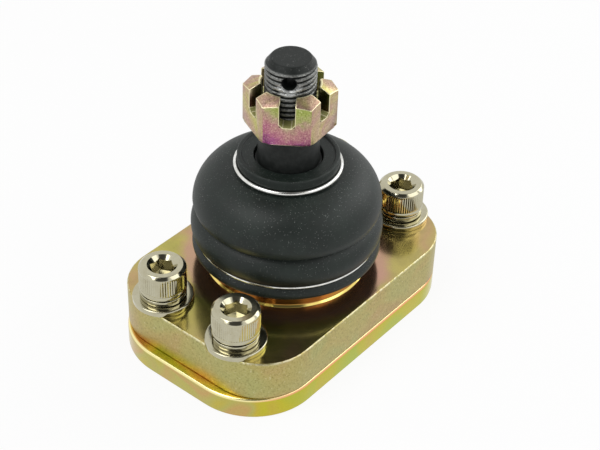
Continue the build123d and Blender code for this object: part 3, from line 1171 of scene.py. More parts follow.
def move(piece: bpy.types.Object, x: float = 0.0, y: float = 0.0, turn: float = 0.0) -> bpy.types.Object:
    """Turn a piece about the upright axis, then shift it, in its mesh.

    Args:
        piece: The piece to move.
        x: Shift along X, in millimetres.
        y: Shift along Y, in millimetres.
        turn: Turn in degrees.

    Returns:
        The same piece.
    """
    matrix = Matrix.Translation((x * MM, y * MM, 0)) @ Matrix.Rotation(radians(turn), 4, "Z")
    piece.data.transform(matrix)
    return piece


def dress(
    piece: bpy.types.Object,
    finish: bpy.types.Material | Sequence[bpy.types.Material],
    body: Body | None,
    stands_for: Sequence[str] = (),
) -> None:
    """Give a new piece its finish and tie it to the frame.

    Args:
        piece: The piece.
        finish: Its material, or its materials in order.
        body: The body that it rides on, or None if it bends between two.
        stands_for: CAD nodes that it replaces.
    """
    finishes = [finish] if isinstance(finish, bpy.types.Material) else list(finish)
    indices = [face.material_index for face in piece.data.polygons]
    piece.data.materials.clear()
    for material in finishes:
        piece.data.materials.append(material)
    last = len(finishes) - 1
    piece.data.polygons.foreach_set("material_index", [min(n, last) for n in indices])
    if body is not None:
        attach(piece, body.value)
    if stands_for:
        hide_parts(*stands_for)
    log.info("%s: %d faces, stands for %s", piece.name, len(piece.data.polygons), stands_for)


# ---------------------------------------------------------------- the pieces


@dataclass(frozen=True)
class Extent:
    """Box of one CAD node, in millimetres.

    Attributes:
        low: Lowest corner.
        high: Highest corner.
    """

    low: Vector
    high: Vector

    @classmethod
    def of(cls, node: str) -> Extent:
        """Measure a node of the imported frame."""
        low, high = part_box(node)
        return cls(Vector(low) / MM, Vector(high) / MM)

    @property
    def centre(self) -> Vector:
        """Middle of the box."""
        return (self.low + self.high) / 2

    @property
    def size(self) -> Vector:
        """Length of the box along each axis."""
        return self.high - self.low


@dataclass
class PlatePair:
    """Lower clamp plate and upper plate.

    Attributes:
        screw_places: Places of the four screws.
        lower_corner: Corner radius of the lower plate.
        lower_top_round: Rounding of the lower plate's top rim.
        lower_bottom_round: Rounding of its bottom rim.
        upper_corner: Corner radius of the upper plate.
        upper_break: Chamfer on the upper plate's rims.
        bore: Radius of the bore for the housing.
        lower_hole: Radius of the tapped holes.
        upper_hole: Radius of the clearance holes.
    """

    screw_places: Sequence[Point]
    lower_corner: float = 20.0
    lower_top_round: float = 1.3
    lower_bottom_round: float = 0.6
    upper_corner: float = 16.0
    upper_break: float = 0.3
    bore: float = 19.52
    lower_hole: float = 4.02
    upper_hole: float = 4.5

    def _holed(self, plate: bpy.types.Object, extent: Extent, hole: float) -> bpy.types.Object:
        """Cut the bore and the screw holes through a plate.

        Args:
            plate: The plate.
            extent: Its box.
            hole: Radius of the screw holes.

        Returns:
            The plate.
        """
        low, high = extent.low.z - 1, extent.high.z + 1
        cutters = [rod("bore_cutter", self.bore, low, high, 160)]
        for x, y in self.screw_places:
            cutters.append(move(rod("hole_cutter", hole, low, high), x, y))
        carve(plate, cutters)
        plate.data.shade_smooth()
        plate.data.set_sharp_from_angle(angle=radians(30))
        return plate

    def lower(self) -> bpy.types.Object:
        """Build the thin plate with its rounded rim.

        Returns:
            The plate.
        """
        extent = Extent.of("lower_plate")
        top_round, bottom_round = self.lower_top_round, self.lower_bottom_round
        rim = softened(
            [
                Corner(bottom_round + 0.6, extent.low.z),
                Corner(0, extent.low.z, bottom_round),
                Corner(0, extent.high.z, top_round),
                Corner(top_round + 0.6, extent.high.z),
            ],
            steps=8,
        )
        plate = slab("lower_plate_forged", extent.size.x, extent.size.y, self.lower_corner, rim)
        return self._holed(plate, extent, self.lower_hole)

    def upper(self) -> bpy.types.Object:
        """Build the thick plate with its broken edges.

        Returns:
            The plate.
        """
        extent = Extent.of("upper_plate")
        cut = self.upper_break
        rim = softened(
            [
                Corner(cut + 0.5, extent.low.z),
                Corner(cut, extent.low.z, 0.08),
                Corner(0, extent.low.z + cut, 0.08),
                Corner(0, extent.high.z - cut, 0.08),
                Corner(cut, extent.high.z, 0.08),
                Corner(cut + 0.5, extent.high.z),
            ],
            steps=3,
        )
        plate = slab("upper_plate_machined", extent.size.x, extent.size.y, self.upper_corner, rim)
        return self._holed(plate, extent, self.upper_hole)


@dataclass
class Housing:
    """Turned housing that holds the ball.

    Attributes:
        spigot: Radius of the part inside the plates.
        foot_break: Chamfer at its foot.
        collar: Radius of the collar above the plates.
        collar_height: Height of the collar.
        collar_soft: Rounding of the collar's top edge.
        collar_foot: Width and height of the sloped foot on the plate.
        boot_seat: Radius of the seat under the boot.
        rim: How far the rim above the seat stands out.
        rim_thick: Thickness of that rim.
        cover_bore: Radius of the cover's bore.
        crimp: Radius of the rolled edge's hole.
        crimp_thick: Thickness of the rolled edge.
        cover_thick: Thickness of the cover.
        cavity: Radius of the seats' cavity.
        mouth_foot: Radius of the mouth at the ball's centre.
        mouth_angle: Half angle of the mouth, in degrees.
    """

    spigot: float = 19.5
    foot_break: float = 0.5
    collar: float = 22.7
    collar_height: float = 5.3
    collar_soft: float = 0.6
    collar_foot: float = 0.6
    boot_seat: float = 20.4
    rim: float = 0.8
    rim_thick: float = 0.9
    cover_bore: float = 15.45
    crimp: float = 13.65
    crimp_thick: float = 1.2
    cover_thick: float = 2.0
    cavity: float = 14.05
    mouth_foot: float = 7.77
    mouth_angle: float = 25.0

    def build(self) -> bpy.types.Object:
        """Turn the housing's closed section.

        Returns:
            The housing.
        """
        extent = Extent.of("ball_housing")
        centre = Extent.of("ball_stud").low.z + Extent.of("ball_stud").size.x / 2
        plate_top = Extent.of("upper_plate").high.z
        foot, top = extent.low.z, extent.high.z
        collar_top = plate_top + self.collar_height
        cover_top = foot + self.crimp_thick + self.cover_thick
        slope = tan(radians(self.mouth_angle))
        mouth_top = self.mouth_foot + (top - centre) * slope
        a, b, c = 1 + slope**2, self.mouth_foot * slope, self.mouth_foot**2 - self.cavity**2
        meet = (-b + sqrt(b * b - a * c)) / a
        meet_radius = self.mouth_foot + meet * slope
        outside = softened(
            [
                Corner(mouth_top, top),
                Corner(self.boot_seat + self.rim / 2, top, 0.2),
                Corner(self.boot_seat + self.rim, top - self.rim_thick, 0.1),
                Corner(self.boot_seat, top - self.rim_thick, 0.1),
                Corner(self.boot_seat, collar_top, 0.2),
                Corner(self.collar, collar_top, self.collar_soft),
                Corner(self.collar, plate_top + self.collar_foot, 0.15),
                Corner(self.collar + self.collar_foot, plate_top, 0.05),
                Corner(self.spigot, plate_top),
                Corner(self.spigot, foot, self.foot_break),
                Corner(self.crimp, foot, 0.3),
                Corner(self.crimp, foot + self.crimp_thick),
                Corner(self.cover_bore, foot + self.crimp_thick),
                Corner(self.cover_bore, cover_top),
                Corner(self.cavity, cover_top),
            ]
        )
        halfway = self.cavity * cos(pi / 8), centre + self.cavity * sin(pi / 8)
        dome = arc((self.cavity, centre), halfway, (meet_radius, centre + meet), 10)
        return turned("housing_turned", outside + dome, closed=True)


@dataclass
class CastleNut:
    """Slotted hexagon nut, pinned to the stud.

    Attributes:
        across_flats: Distance between opposite flats.
        slot_depth: Depth of the slots.
        slot_width: Width of the slots.
        slot_corner: Chamfer at the slots' bottom corners.
        top_cone: Angle of the cone over the prongs, in degrees.
        top_face: Radius where that cone starts.
        foot_chamfer: Angle of the chamfer at the foot, in degrees.
        foot_face: Radius where the foot chamfer starts.
        bore: Radius of the bore.
        crown_bore: Radius of the bore between the prongs.
        bore_mouth: Chamfer at the bore's foot.
        crown_break: Chamfer inside the prongs' tops.
        turn: Angle from +X to a flat's normal, in degrees.
        edge: Rounding of the edges.
    """

    across_flats: float = 22.0
    slot_depth: float = 7.6
    slot_width: float = 4.1
    slot_corner: float = 0.9
    top_cone: float = 22.0
    top_face: float = 8.3
    foot_chamfer: float = 30.0
    foot_face: float = 11.8
    bore: float = 7.05
    crown_bore: float = 7.6
    bore_mouth: float = 0.9
    crown_break: float = 0.4
    turn: float = 35.5
    edge: float = 0.18

    def _slot(self, top: float) -> bpy.types.Object:
        """Make the cutter of one slot, along X.

        Args:
            top: Height of the nut's top.

        Returns:
            The cutter.
        """
        half, bottom = self.slot_width / 2, top - self.slot_depth
        reach, over = self.across_flats, top + 1
        outline = [
            (self.slot_corner - half, bottom),
            (half - self.slot_corner, bottom),
            (half, bottom + self.slot_corner),
            (half, over),
            (-half, over),
            (-half, bottom + self.slot_corner),
        ]
        count = len(outline)
        points = [(x, y, z) for x in (-reach, reach) for y, z in outline]
        faces = [list(range(count)), list(range(count, 2 * count))[::-1]]
        faces += [[n, (n + 1) % count, count + (n + 1) % count, count + n] for n in range(count)]
        return mesh_object("slot_cutter", points, faces)

    def build(self) -> bpy.types.Object:
        """Chamfer the hexagon, bore it, slot it and soften its edges.

        Returns:
            The nut.
        """
        extent = Extent.of("castle_nut")
        foot, top = extent.low.z, extent.high.z
        corner = self.across_flats / 2 / cos(pi / 6)
        top_slope = tan(radians(self.top_cone))
        foot_slope = tan(radians(self.foot_chamfer))
        nut = turned(
            "castle_nut_slotted", [(0, foot), (corner, foot), (corner, top), (0, top)], 6
        )
        envelope = turned(
            "envelope",
            [
                (0, foot),
                (self.foot_face, foot),
                (corner + 1, foot + (corner + 1 - self.foot_face) * foot_slope),
                (corner + 1, top - (corner + 1 - self.top_face) * top_slope),
                (self.top_face, top),
                (0, top),
            ],
            144,
        )
        move(envelope, turn=1.0)
        bore = turned(
            "bore_cutter",
            [
                (0, foot - 1),
                (self.bore + (self.bore_mouth + 1), foot - 1),
                (self.bore, foot + self.bore_mouth),
                (self.bore, top - self.slot_depth),
                (self.crown_bore, top - self.slot_depth + self.crown_bore - self.bore),
                (self.crown_bore, top - self.crown_break),
                (self.crown_bore + (self.crown_break + 1), top + 1),
                (0, top + 1),
            ],
            120,
        )
        carve(nut, [envelope], keep_common=True)
        slots = [move(self._slot(top), turn=30.0 + turn) for turn in (0, 60, 120)]
        carve(nut, [bore, *slots])
        soften_edges(nut, self.edge, 20.0)
        return move(nut, turn=self.turn - 30.0)


@dataclass
class BallStud:
    """Ball, neck, shoulder, taper and a real helical thread, cross-drilled near its tip.

    Attributes:
        neck: Radius of the neck.
        neck_top: Height of the neck's end above the ball's centre.
        shoulder: Radius of the shoulder.
        shoulder_bottom: Height of the shoulder's foot above the ball's centre.
        shoulder_top: Height of its top above the ball's centre.
        taper_large: Radius at the taper's foot.
        taper_small: Radius at the taper's top.
        taper_length: Length of the taper.
        relief: Radius of the relief under the thread.
        relief_length: Length of the relief.
        thread: Radius of the thread's crest.
        pitch: Pitch of the thread.
        thread_depth: Depth of the thread.
        root_flat: Share of the pitch that is flat at the thread's root.
        flank_share: Share of the pitch that its two flanks take together.
        tip: Radius of the end face.
        tip_chamfer: Height of the tip's chamfer.
        hole: Radius of the cotter hole.
        hole_drop: Distance of the hole's axis below the tip.
        hole_turn: Angle from +X to the hole's axis, in degrees.
        sink: Distance from the stud's axis where the hole's countersink starts.
        drill_reach: Distance from the axis to the drill's end.
        sink_spread: How much wider the drill is there.
    """

    neck: float = 6.5
    neck_top: float = 16.0
    shoulder: float = 9.3
    shoulder_bottom: float = 26.5
    shoulder_top: float = 33.4
    taper_large: float = 8.675
    taper_small: float = 8.0
    taper_length: float = 10.8
    relief: float = 5.9
    relief_length: float = 1.6
    thread: float = 6.95
    pitch: float = 1.5
    thread_depth: float = 0.7
    root_flat: float = 0.12
    flank_share: float = 0.48
    tip: float = 5.4
    tip_chamfer: float = 2.0
    hole: float = 2.0
    hole_drop: float = 4.6
    hole_turn: float = 35.5
    sink: float = 6.2
    drill_reach: float = 9.0
    sink_spread: float = 2.4

    def _thread_radius(self, radius: float, height: float, angle: float, start: float) -> float:
        """Return the surface radius with the thread cut into it.

        Args:
            radius: Radius of the blank.
            height: Height of the point.
            angle: Angle of the point, in radians.
            start: Height where the thread starts.

        Returns:
            The radius of the threaded surface.
        """
        if height < start:
            return radius
        phase = (height / self.pitch - angle / tau) % 1.0
        flank = (abs(phase - 0.5) * 2 - self.root_flat) / self.flank_share
        flank = min(max(flank, 0.0), 1.0)
        fade = min((height - start) / self.pitch, 1.0)
        groove = self.thread - self.thread_depth * (1 - flank) * fade
        return min(radius, groove)

    def _hole_cutter(self, level: float) -> bpy.types.Object:
        """Make the cotter hole's drill with a countersink at both ends.

        Args:
            level: Height of the hole's axis.

        Returns:
            The cutter.
        """
        profile = [
            (0, -self.drill_reach),
            (self.hole + self.sink_spread, -self.drill_reach),
            (self.hole, -self.sink),
            (self.hole, self.sink),
            (self.hole + self.sink_spread, self.drill_reach),
            (0, self.drill_reach),
        ]
        cutter = turned("drill", profile, 48)
        matrix = (
            Matrix.Translation((0, 0, level * MM))
            @ Matrix.Rotation(radians(self.hole_turn), 4, "Z")
            @ Matrix.Rotation(radians(90), 4, "Y")
        )
        cutter.data.transform(matrix)
        return cutter

    def build(self) -> bpy.types.Object:
        """Turn the stud with its thread, then drill it.

        Returns:
            The stud.
        """
        extent = Extent.of("ball_stud")
        ball = extent.size.x / 2
        centre, top = extent.low.z + ball, extent.high.z
        meet = sqrt(ball**2 - self.neck**2)
        taper_foot = centre + self.shoulder_top
        taper_top = taper_foot + self.taper_length
        start = taper_top + self.relief_length
        sphere = arc((0, centre - ball), (ball, centre), (self.neck, centre + meet), 40)
        shank = softened(
            [
                Corner(self.neck, centre + meet),
                Corner(self.neck, centre + self.neck_top, 1.0),
                Corner(self.shoulder, centre + self.shoulder_bottom, 1.0),
                Corner(self.shoulder, taper_foot, 0.4),
                Corner(self.taper_large, taper_foot, 0.1),
                Corner(self.taper_small, taper_top, 0.4),
                Corner(self.relief, taper_top, 0.3),
                Corner(self.relief, start, 0.3),
                Corner(self.thread, start + self.thread - self.relief),
            ]
        )
        step = self.pitch / 12
        low, high = start + self.thread - self.relief, top - self.tip_chamfer
        count = int((high - low) / step)
        threaded = [(self.thread, low + (high - low) * n / count) for n in range(1, count + 1)]
        chamfer = [
            (self.thread + (self.tip - self.thread) * n / 8, high + self.tip_chamfer * n / 8)
            for n in range(1, 8)
        ]
        end = softened(
            [
                Corner(*chamfer[-1]),
                Corner(self.tip, top, 0.35),
                Corner(self.tip - 0.8, top),
            ]
        )[1:]
        profile = sphere[:-1] + shank + threaded + chamfer + end + [(0, top)]
        stud = turned(
            "ball_stud_threaded",
            profile,
            144,
            shape=lambda r, z, angle: self._thread_radius(r, z, angle, start),
            crease=60.0,
        )
        carve(stud, [self._hole_cutter(top - self.hole_drop)])
        stud.data.shade_smooth()
        stud.data.set_sharp_from_angle(angle=radians(50))
        return stud


@dataclass
class CapScrew:
    """Socket head cap screw with a knurled head.

    Attributes:
        shank: Radius of the shank.
        head: Radius of the head.
        head_height: Height of the head.
        end_chamfer: Chamfer of the shank's end.
        head_chamfer: Chamfer of the head's top edge.
        teeth: Number of knurl teeth.
        knurl_depth: Depth of the knurl.
        plain_foot: Height of the plain band under the knurl.
        groove: Depth of the line between the band and the knurl.
        flats: Size of the hexagon socket across its flats.
        socket_depth: Depth of the socket.
        mouth: Radius of the socket's countersink.
        mouth_depth: Depth of that countersink.
        drill: Depth of the drill point under the socket.
    """

    shank: float = 4.0
    head: float = 6.6
    head_height: float = 8.0
    end_chamfer: float = 0.8
    head_chamfer: float = 0.85
    teeth: int = 60
    knurl_depth: float = 0.16
    plain_foot: float = 1.3
    groove: float = 0.14
    flats: float = 6.0
    socket_depth: float = 4.7
    mouth: float = 4.2
    mouth_depth: float = 1.15
    drill: float = 1.3

    def _radius(self, radius: float, height: float, angle: float, low: float, high: float) -> float:
        """Cut the knurl into the head's radius.

        Args:
            radius: Radius before the cut.
            height: Height of the point.
            angle: Angle of the point about the axis.
            low: Height of the knurl's foot.
            high: Height of its top.

        Returns:
            The radius after the cut.
        """
        if not low < height < high:
            return radius
        fade = min((height - low) / 0.2, (high - height) / 0.35, 1.0)
        wave = abs((angle * self.teeth / tau) % 1.0 - 0.5) * 2
        return radius - self.knurl_depth * fade * wave

    def master(self, extent: Extent) -> bpy.types.Object:
        """Build one screw on the axis, at its own height.

        Args:
            extent: Box of the CAD screw.

        Returns:
            The screw.
        """
        end, top = extent.low.z, extent.high.z
        seat = top - self.head_height
        band = seat + self.plain_foot
        shoulder = top - self.head_chamfer
        rim = softened(
            [
                Corner(self.head, shoulder - 0.3),
                Corner(self.head, shoulder, 0.2),
                Corner(self.head - self.head_chamfer, top, 0.12),
                Corner(self.head - self.head_chamfer - 0.3, top),
            ]
        )
        flank = [(self.head, band + 0.2 + (rim[0][1] - band - 0.2) * n / 12) for n in range(12)]
        foot = softened(
            [
                Corner(0, end),
                Corner(self.shank - self.end_chamfer, end, 0.1),
                Corner(self.shank, end + self.end_chamfer, 0.1),
                Corner(self.shank, seat),
                Corner(self.head, seat, 0.3),
                Corner(self.head, band - 0.2),
                Corner(self.head - self.groove, band),
            ]
        )
        profile = foot + flank + rim + [(0, top)]
        screw = turned(
            "screw",
            profile,
            self.teeth * 4,
            shape=lambda r, z, angle: self._radius(r, z, angle, band, shoulder),
            crease=50.0,
        )
        corner = self.flats / 2 / cos(pi / 6)
        floor_level = top - self.socket_depth
        rise = self.mouth_depth * self.mouth / (self.mouth - self.flats / 2)
        cone = turned(
            "mouth_cutter",
            [(0, top - rise), (self.mouth * 2, top + rise), (0, top + rise)],
            96,
        )
        point = [
            (0, floor_level - self.drill),
            (self.flats / 2, floor_level + 0.01),
            (0, floor_level + 0.02),
        ]
        drill = turned("drill_cutter", point, 72)
        socket = turned(
            "socket_cutter",
            [(0, floor_level), (corner, floor_level), (corner, top + 1), (0, top + 1)],
            6,
        )
        carve(screw, [socket, drill, cone])
        screw.data.shade_smooth()
        screw.data.set_sharp_from_angle(angle=radians(35))
        return screw


@dataclass
class ScrewSet:
    """Four cap screws with their spring washers and flat washers.

    Attributes:
        finish: Material of all of them.
        turns: Turn of each screw's socket, in degrees.
        slit_turns: Turn of each spring washer's slit, in degrees.
        slit: Width of the slit.
        spring_inner: Inner radius of the spring washers.
        spring_width: Width of their section.
        spring_thick: Thickness of their section.
        screw: The screw's sizes.
    """

    finish: bpy.types.Material
    turns: Sequence[float] = (-2.0, 40.0, -12.0, 25.0)
    slit_turns: Sequence[float] = (100.0, 155.0, 70.0, 80.0)
    slit: float = 1.4
    spring_inner: float = 4.2
    spring_width: float = 2.3
    spring_thick: float = 1.6
    screw: CapScrew = field(default_factory=CapScrew)

    @staticmethod
    def places() -> list[Point]:
        """Return the screws' places from the frame."""
        centres = [Extent.of(f"cap_screw_{number}").centre for number in range(1, 5)]
        return [(centre.x, centre.y) for centre in centres]

    def _spring(self, extent: Extent, turn: float) -> bpy.types.Object:
        """Build one spring washer on the axis.

        Args:
            extent: Box of the CAD washer.
            turn: Turn of the slit from +X, in degrees.

        Returns:
            The washer.
        """
        inner, outer = self.spring_inner, self.spring_inner + self.spring_width
        low, high = extent.low.z, extent.low.z + self.spring_thick
        section = softened(
            [
                Corner(inner, low, 0.2),
                Corner(outer, low, 0.2),
                Corner(outer, high, 0.2),
                Corner(inner, high, 0.2),
            ],
            closed=True,
            steps=3,
        )
        middle = inner + self.spring_width / 2
        sweep = tau - self.slit / middle
        rise = extent.size.z - self.spring_thick
        return swept_ring("spring", section, radians(turn), sweep, rise, 96)

    def _flat(self, extent: Extent) -> bpy.types.Object:
        """Build one flat washer on the axis, with its stamped edge rounded on top.

        Args:
            extent: Box of the CAD washer.

        Returns:
            The washer.
        """
        outer, inner = extent.size.x / 2, self.spring_inner
        section = softened(
            [
                Corner(inner, extent.low.z, 0.15),
                Corner(outer, extent.low.z, 0.15),
                Corner(outer, extent.high.z, 0.45),
                Corner(inner, extent.high.z, 0.25),
            ],
            closed=True,
        )
        return turned("washer", section, 120, closed=True)

    def build(self) -> None:
        """Build and dress all twelve pieces."""
        master = self.screw.master(Extent.of("cap_screw_1"))
        for number, (x, y) in enumerate(self.places(), start=1):
            screw = bpy.data.objects.new(f"cap_screw_{number}_knurled", master.data.copy())
            bpy.context.scene.collection.objects.link(screw)
            move(screw, x, y, self.turns[number - 1])
            dress(screw, self.finish, Body.HOUSING, [f"cap_screw_{number}"])
            spring = self._spring(
                Extent.of(f"spring_washer_{number}"), self.slit_turns[number - 1]
            )
            spring.name = f"spring_washer_{number}_split"
            move(spring, x, y)
            dress(spring, self.finish, Body.HOUSING, [f"spring_washer_{number}"])
            flat = self._flat(Extent.of(f"flat_washer_{number}"))
            flat.name = f"flat_washer_{number}_stamped"
            move(flat, x, y)
            dress(flat, self.finish, Body.HOUSING, [f"flat_washer_{number}"])
        bpy.data.objects.remove(master)


@dataclass
class DustBoot:
    """Rubber boot from the housing's collar to the stud's shoulder, with its two clips.

    Attributes:
        bead: Radius of the base bead.
        bead_top: Radius of the bead's top edge, under the clip.
        base_clip: Ring radius of the base clip.
        base_gap: Half the width of the gap where that clip shows.
        fold_foot: Radius of the fold's foot, over the clip.
        fold: Radius of the lower fold.
        fold_top: Radius of the fold's top.
        crease: Radius of the crease under the bell.
        bell_edge: Radius of the bell's lower edge.
        bell: Largest radius of the bell.
        dome_top: Radius where the dome meets the neck.
        fullness: How far the dome stands out, from 0.5 for a cone to 0.71 for an ellipse.
        neck_clip: Ring radius of the neck clip.
        neck_clip_drop: Distance of that clip below the lip.
        lip: Radius of the lip.
        lip_rim: Width of the raised rim on the lip.
        lip_dish: Depth of the flat inside that rim.
        hole: Radius of the hole for the stud.
        wall: Thickness of the rubber.
        grip: Length of the neck that grips the stud, down from the lip.
        wire: Radius of the clips' wire.
        clip_opening: Angle between a clip's ends, in degrees.
        clip_turn: Angle of a clip's opening from +X, in degrees.
        fold_rise: Height of the fold's middle above the boot's foot.
        fold_top_rise: Height of the fold's top.
        crease_rise: Height of the crease.
        bell_edge_rise: Height of the bell's lower edge.
        bell_rise: Height of the bell's widest place.
        bend_rise: Height of the inner fold's foot, where the bend starts.
        dome_drop: Distance of the dome's top below the neck clip.
        bead_rise: Height of the base bead's top.
        bead_foot: Radius on the base's underside where the outer profile starts.
        throat: Radius of the base's bore.
        throat_rise: Height of that bore.
        seat_step: Width of the step above it.
        crease_wall: Thickness of the rubber at the crease.
        clip_wall: Distance from the base clip's ring in to the rubber's inner face.
        inner_crease_rise: Height of the crease on the inside.
        inner_fold_rise: Height of the fold's middle on the inside.
        neck_reach: How far the outer profile runs down the bore from the lip.
    """

    bead: float = 26.6
    bead_top: float = 25.65
    base_clip: float = 24.9
    base_gap: float = 0.3
    fold_foot: float = 25.4
    fold: float = 26.95
    fold_top: float = 24.9
    crease: float = 24.0
    bell_edge: float = 25.8
    bell: float = 26.35
    dome_top: float = 14.7
    fullness: float = 0.705
    neck_clip: float = 14.5
    neck_clip_drop: float = 3.4
    lip: float = 14.1
    lip_rim: float = 1.2
    lip_dish: float = 0.5
    hole: float = 9.45
    wall: float = 2.0
    grip: float = 7.4
    wire: float = 0.65
    clip_opening: float = 7.0
    clip_turn: float = 60.0
    fold_rise: float = 7.4
    fold_top_rise: float = 11.9
    crease_rise: float = 12.7
    bell_edge_rise: float = 13.2
    bell_rise: float = 15.4
    bend_rise: float = 5.5
    dome_drop: float = 0.95
    bead_rise: float = 1.6
    bead_foot: float = 21.5
    throat: float = 20.55
    throat_rise: float = 4.4
    seat_step: float = 0.8
    crease_wall: float = 1.4
    clip_wall: float = 2.2
    inner_crease_rise: float = 12.8
    inner_fold_rise: float = 7.0
    neck_reach: float = 7.0

    def _outside(self, foot: float, top: float, clip: float) -> list[Point]:
        """Draw the outer profile.

        Args:
            foot: Height of the boot's foot.
            top: Height of its lip.
            clip: Height of the base clip.

        Returns:
            Points from the base to the lip.
        """
        groove = self.wire + 0.1
        neck = top - self.neck_clip_drop
        fold_foot = (self.fold_foot, clip + self.base_gap)
        fold_top = (self.fold_top, foot + self.fold_top_rise)
        fold = arc(fold_foot, (self.fold, foot + self.fold_rise), fold_top, 16)
        base = softened(
            [
                Corner(self.bead_foot, foot),
                Corner(self.bead, foot, 1.1),
                Corner(self.bead, foot + self.bead_rise, 0.5),
                Corner(self.bead_top, clip - self.base_gap, 0.1),
                Corner(self.base_clip + 0.1, clip - self.base_gap + 0.1, 0.1),
                Corner(self.base_clip + 0.1, clip + self.base_gap - 0.1, 0.1),
                Corner(*fold_foot),
            ]
        )
        crease = softened(
            [
                Corner(*fold_top),
                Corner(self.crease, foot + self.crease_rise, 0.35),
                Corner(self.bell_edge, foot + self.bell_edge_rise, 0.8),
                Corner(self.bell, foot + self.bell_rise),
            ]
        )
        bell_foot = (self.bell, foot + self.bell_rise)
        dome_top = (self.dome_top, neck - self.dome_drop)
        middle = (
            dome_top[0] + (bell_foot[0] - dome_top[0]) * self.fullness,
            bell_foot[1] + (dome_top[1] - bell_foot[1]) * self.fullness,
        )
        dome = arc(bell_foot, middle, dome_top, 36)
        lip = softened(
            [
                Corner(*dome_top),
                Corner(self.neck_clip - groove + 0.1, neck - 0.2, 0.35),
                Corner(self.neck_clip - groove + 0.1, neck + 0.3, 0.3),
                Corner(self.lip, neck + groove, 0.2),
                Corner(self.lip, top, 0.45),
                Corner(self.lip - self.lip_rim, top, 0.3),
                Corner(self.lip - self.lip_rim - 0.2, top - self.lip_dish, 0.25),
                Corner(self.hole, top - self.lip_dish, 0.35),
                Corner(self.hole, top - self.neck_reach),
            ]
        )
        return base + fold[1:] + crease[1:] + dome[1:] + lip[1:]

    def _inside(self, foot: float, top: float) -> list[Point]:
        """Draw the inner profile.

        Args:
            foot: Height of the boot's foot.
            top: Height of its lip.

        Returns:
            Points from the neck down to the base.
        """
        bell = (self.bell - self.wall, foot + self.bell_rise)
        grip = (self.dome_top - self.wall, top - self.grip)
        middle = (
            grip[0] + (bell[0] - grip[0]) * self.fullness,
            bell[1] + (grip[1] - bell[1]) * self.fullness,
        )
        dome = arc(grip, middle, bell, 24)
        fold = arc(
            (self.crease - self.crease_wall, foot + self.inner_crease_rise),
            (self.fold - self.wall, foot + self.inner_fold_rise),
            (self.base_clip - self.clip_wall, foot + self.bend_rise),
            12,
        )
        base = [
            (self.throat + self.seat_step, foot + self.throat_rise + 0.1),
            (self.throat, foot + self.throat_rise),
            (self.throat, foot),
        ]
        return [(self.hole, top - self.grip), *dome, *fold, *base]

    def _clip(self, name: str, ring: float, level: float) -> bpy.types.Object:
        """Build one clip: a wire ring with its ends a short way apart.

        Args:
            name: The clip's name.
            ring: Radius of the ring, to the wire's middle.
            level: Height of the ring.

        Returns:
            The clip.
        """
        section = [
            (ring + self.wire * cos(tau * n / 20), level + self.wire * sin(tau * n / 20))
            for n in range(20)
        ]
        sweep = radians(360 - self.clip_opening)
        return swept_ring(name, section, radians(self.clip_turn), sweep, 0.0, 180)

    def build(self, rubber: bpy.types.Material, wire: bpy.types.Material) -> None:
        """Build and dress the boot and its clips.

        Args:
            rubber: Material of the boot.
            wire: Material of the clips.
        """
        extent = Extent.of("dust_boot")
        clip = Extent.of("boot_base_clip").centre.z
        foot, top = extent.low.z, extent.high.z
        profile = self._outside(foot, top, clip) + self._inside(foot, top)
        boot = turned("dust_boot_moulded", profile, 256, closed=True, crease=65.0)
        dress(boot, rubber, None, ["dust_boot"])
        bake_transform(boot)
        base = self._clip("boot_base_clip_wire", self.base_clip, clip)
        dress(base, wire, Body.HOUSING, ["boot_base_clip"])
        neck = self._clip("boot_neck_clip_wire", self.neck_clip, top - self.neck_clip_drop)
        dress(neck, wire, Body.BOOT_NECK, ["boot_neck_clip"])


# ---------------------------------------------------------------- the studio


@dataclass(frozen=True)
class Lamp:
    """One soft square lamp that looks at the object.

    Attributes:
        name: Name of the lamp.
        azimuth: Angle from the camera's side, in degrees.
        elevation: Angle above the floor, in degrees.
        power: Power in watts.
        size: Side of the lamp, in metres.
    """

    name: str
    azimuth: float
    elevation: float
    power: float
    size: float


LAMPS = (
    Lamp("key_lamp", azimuth=-60, elevation=58, power=3.2, size=0.5),
    Lamp("fill_lamp", azimuth=75, elevation=45, power=1.4, size=0.6),
    Lamp("back_lamp", azimuth=125, elevation=30, power=2.4, size=0.6),
)


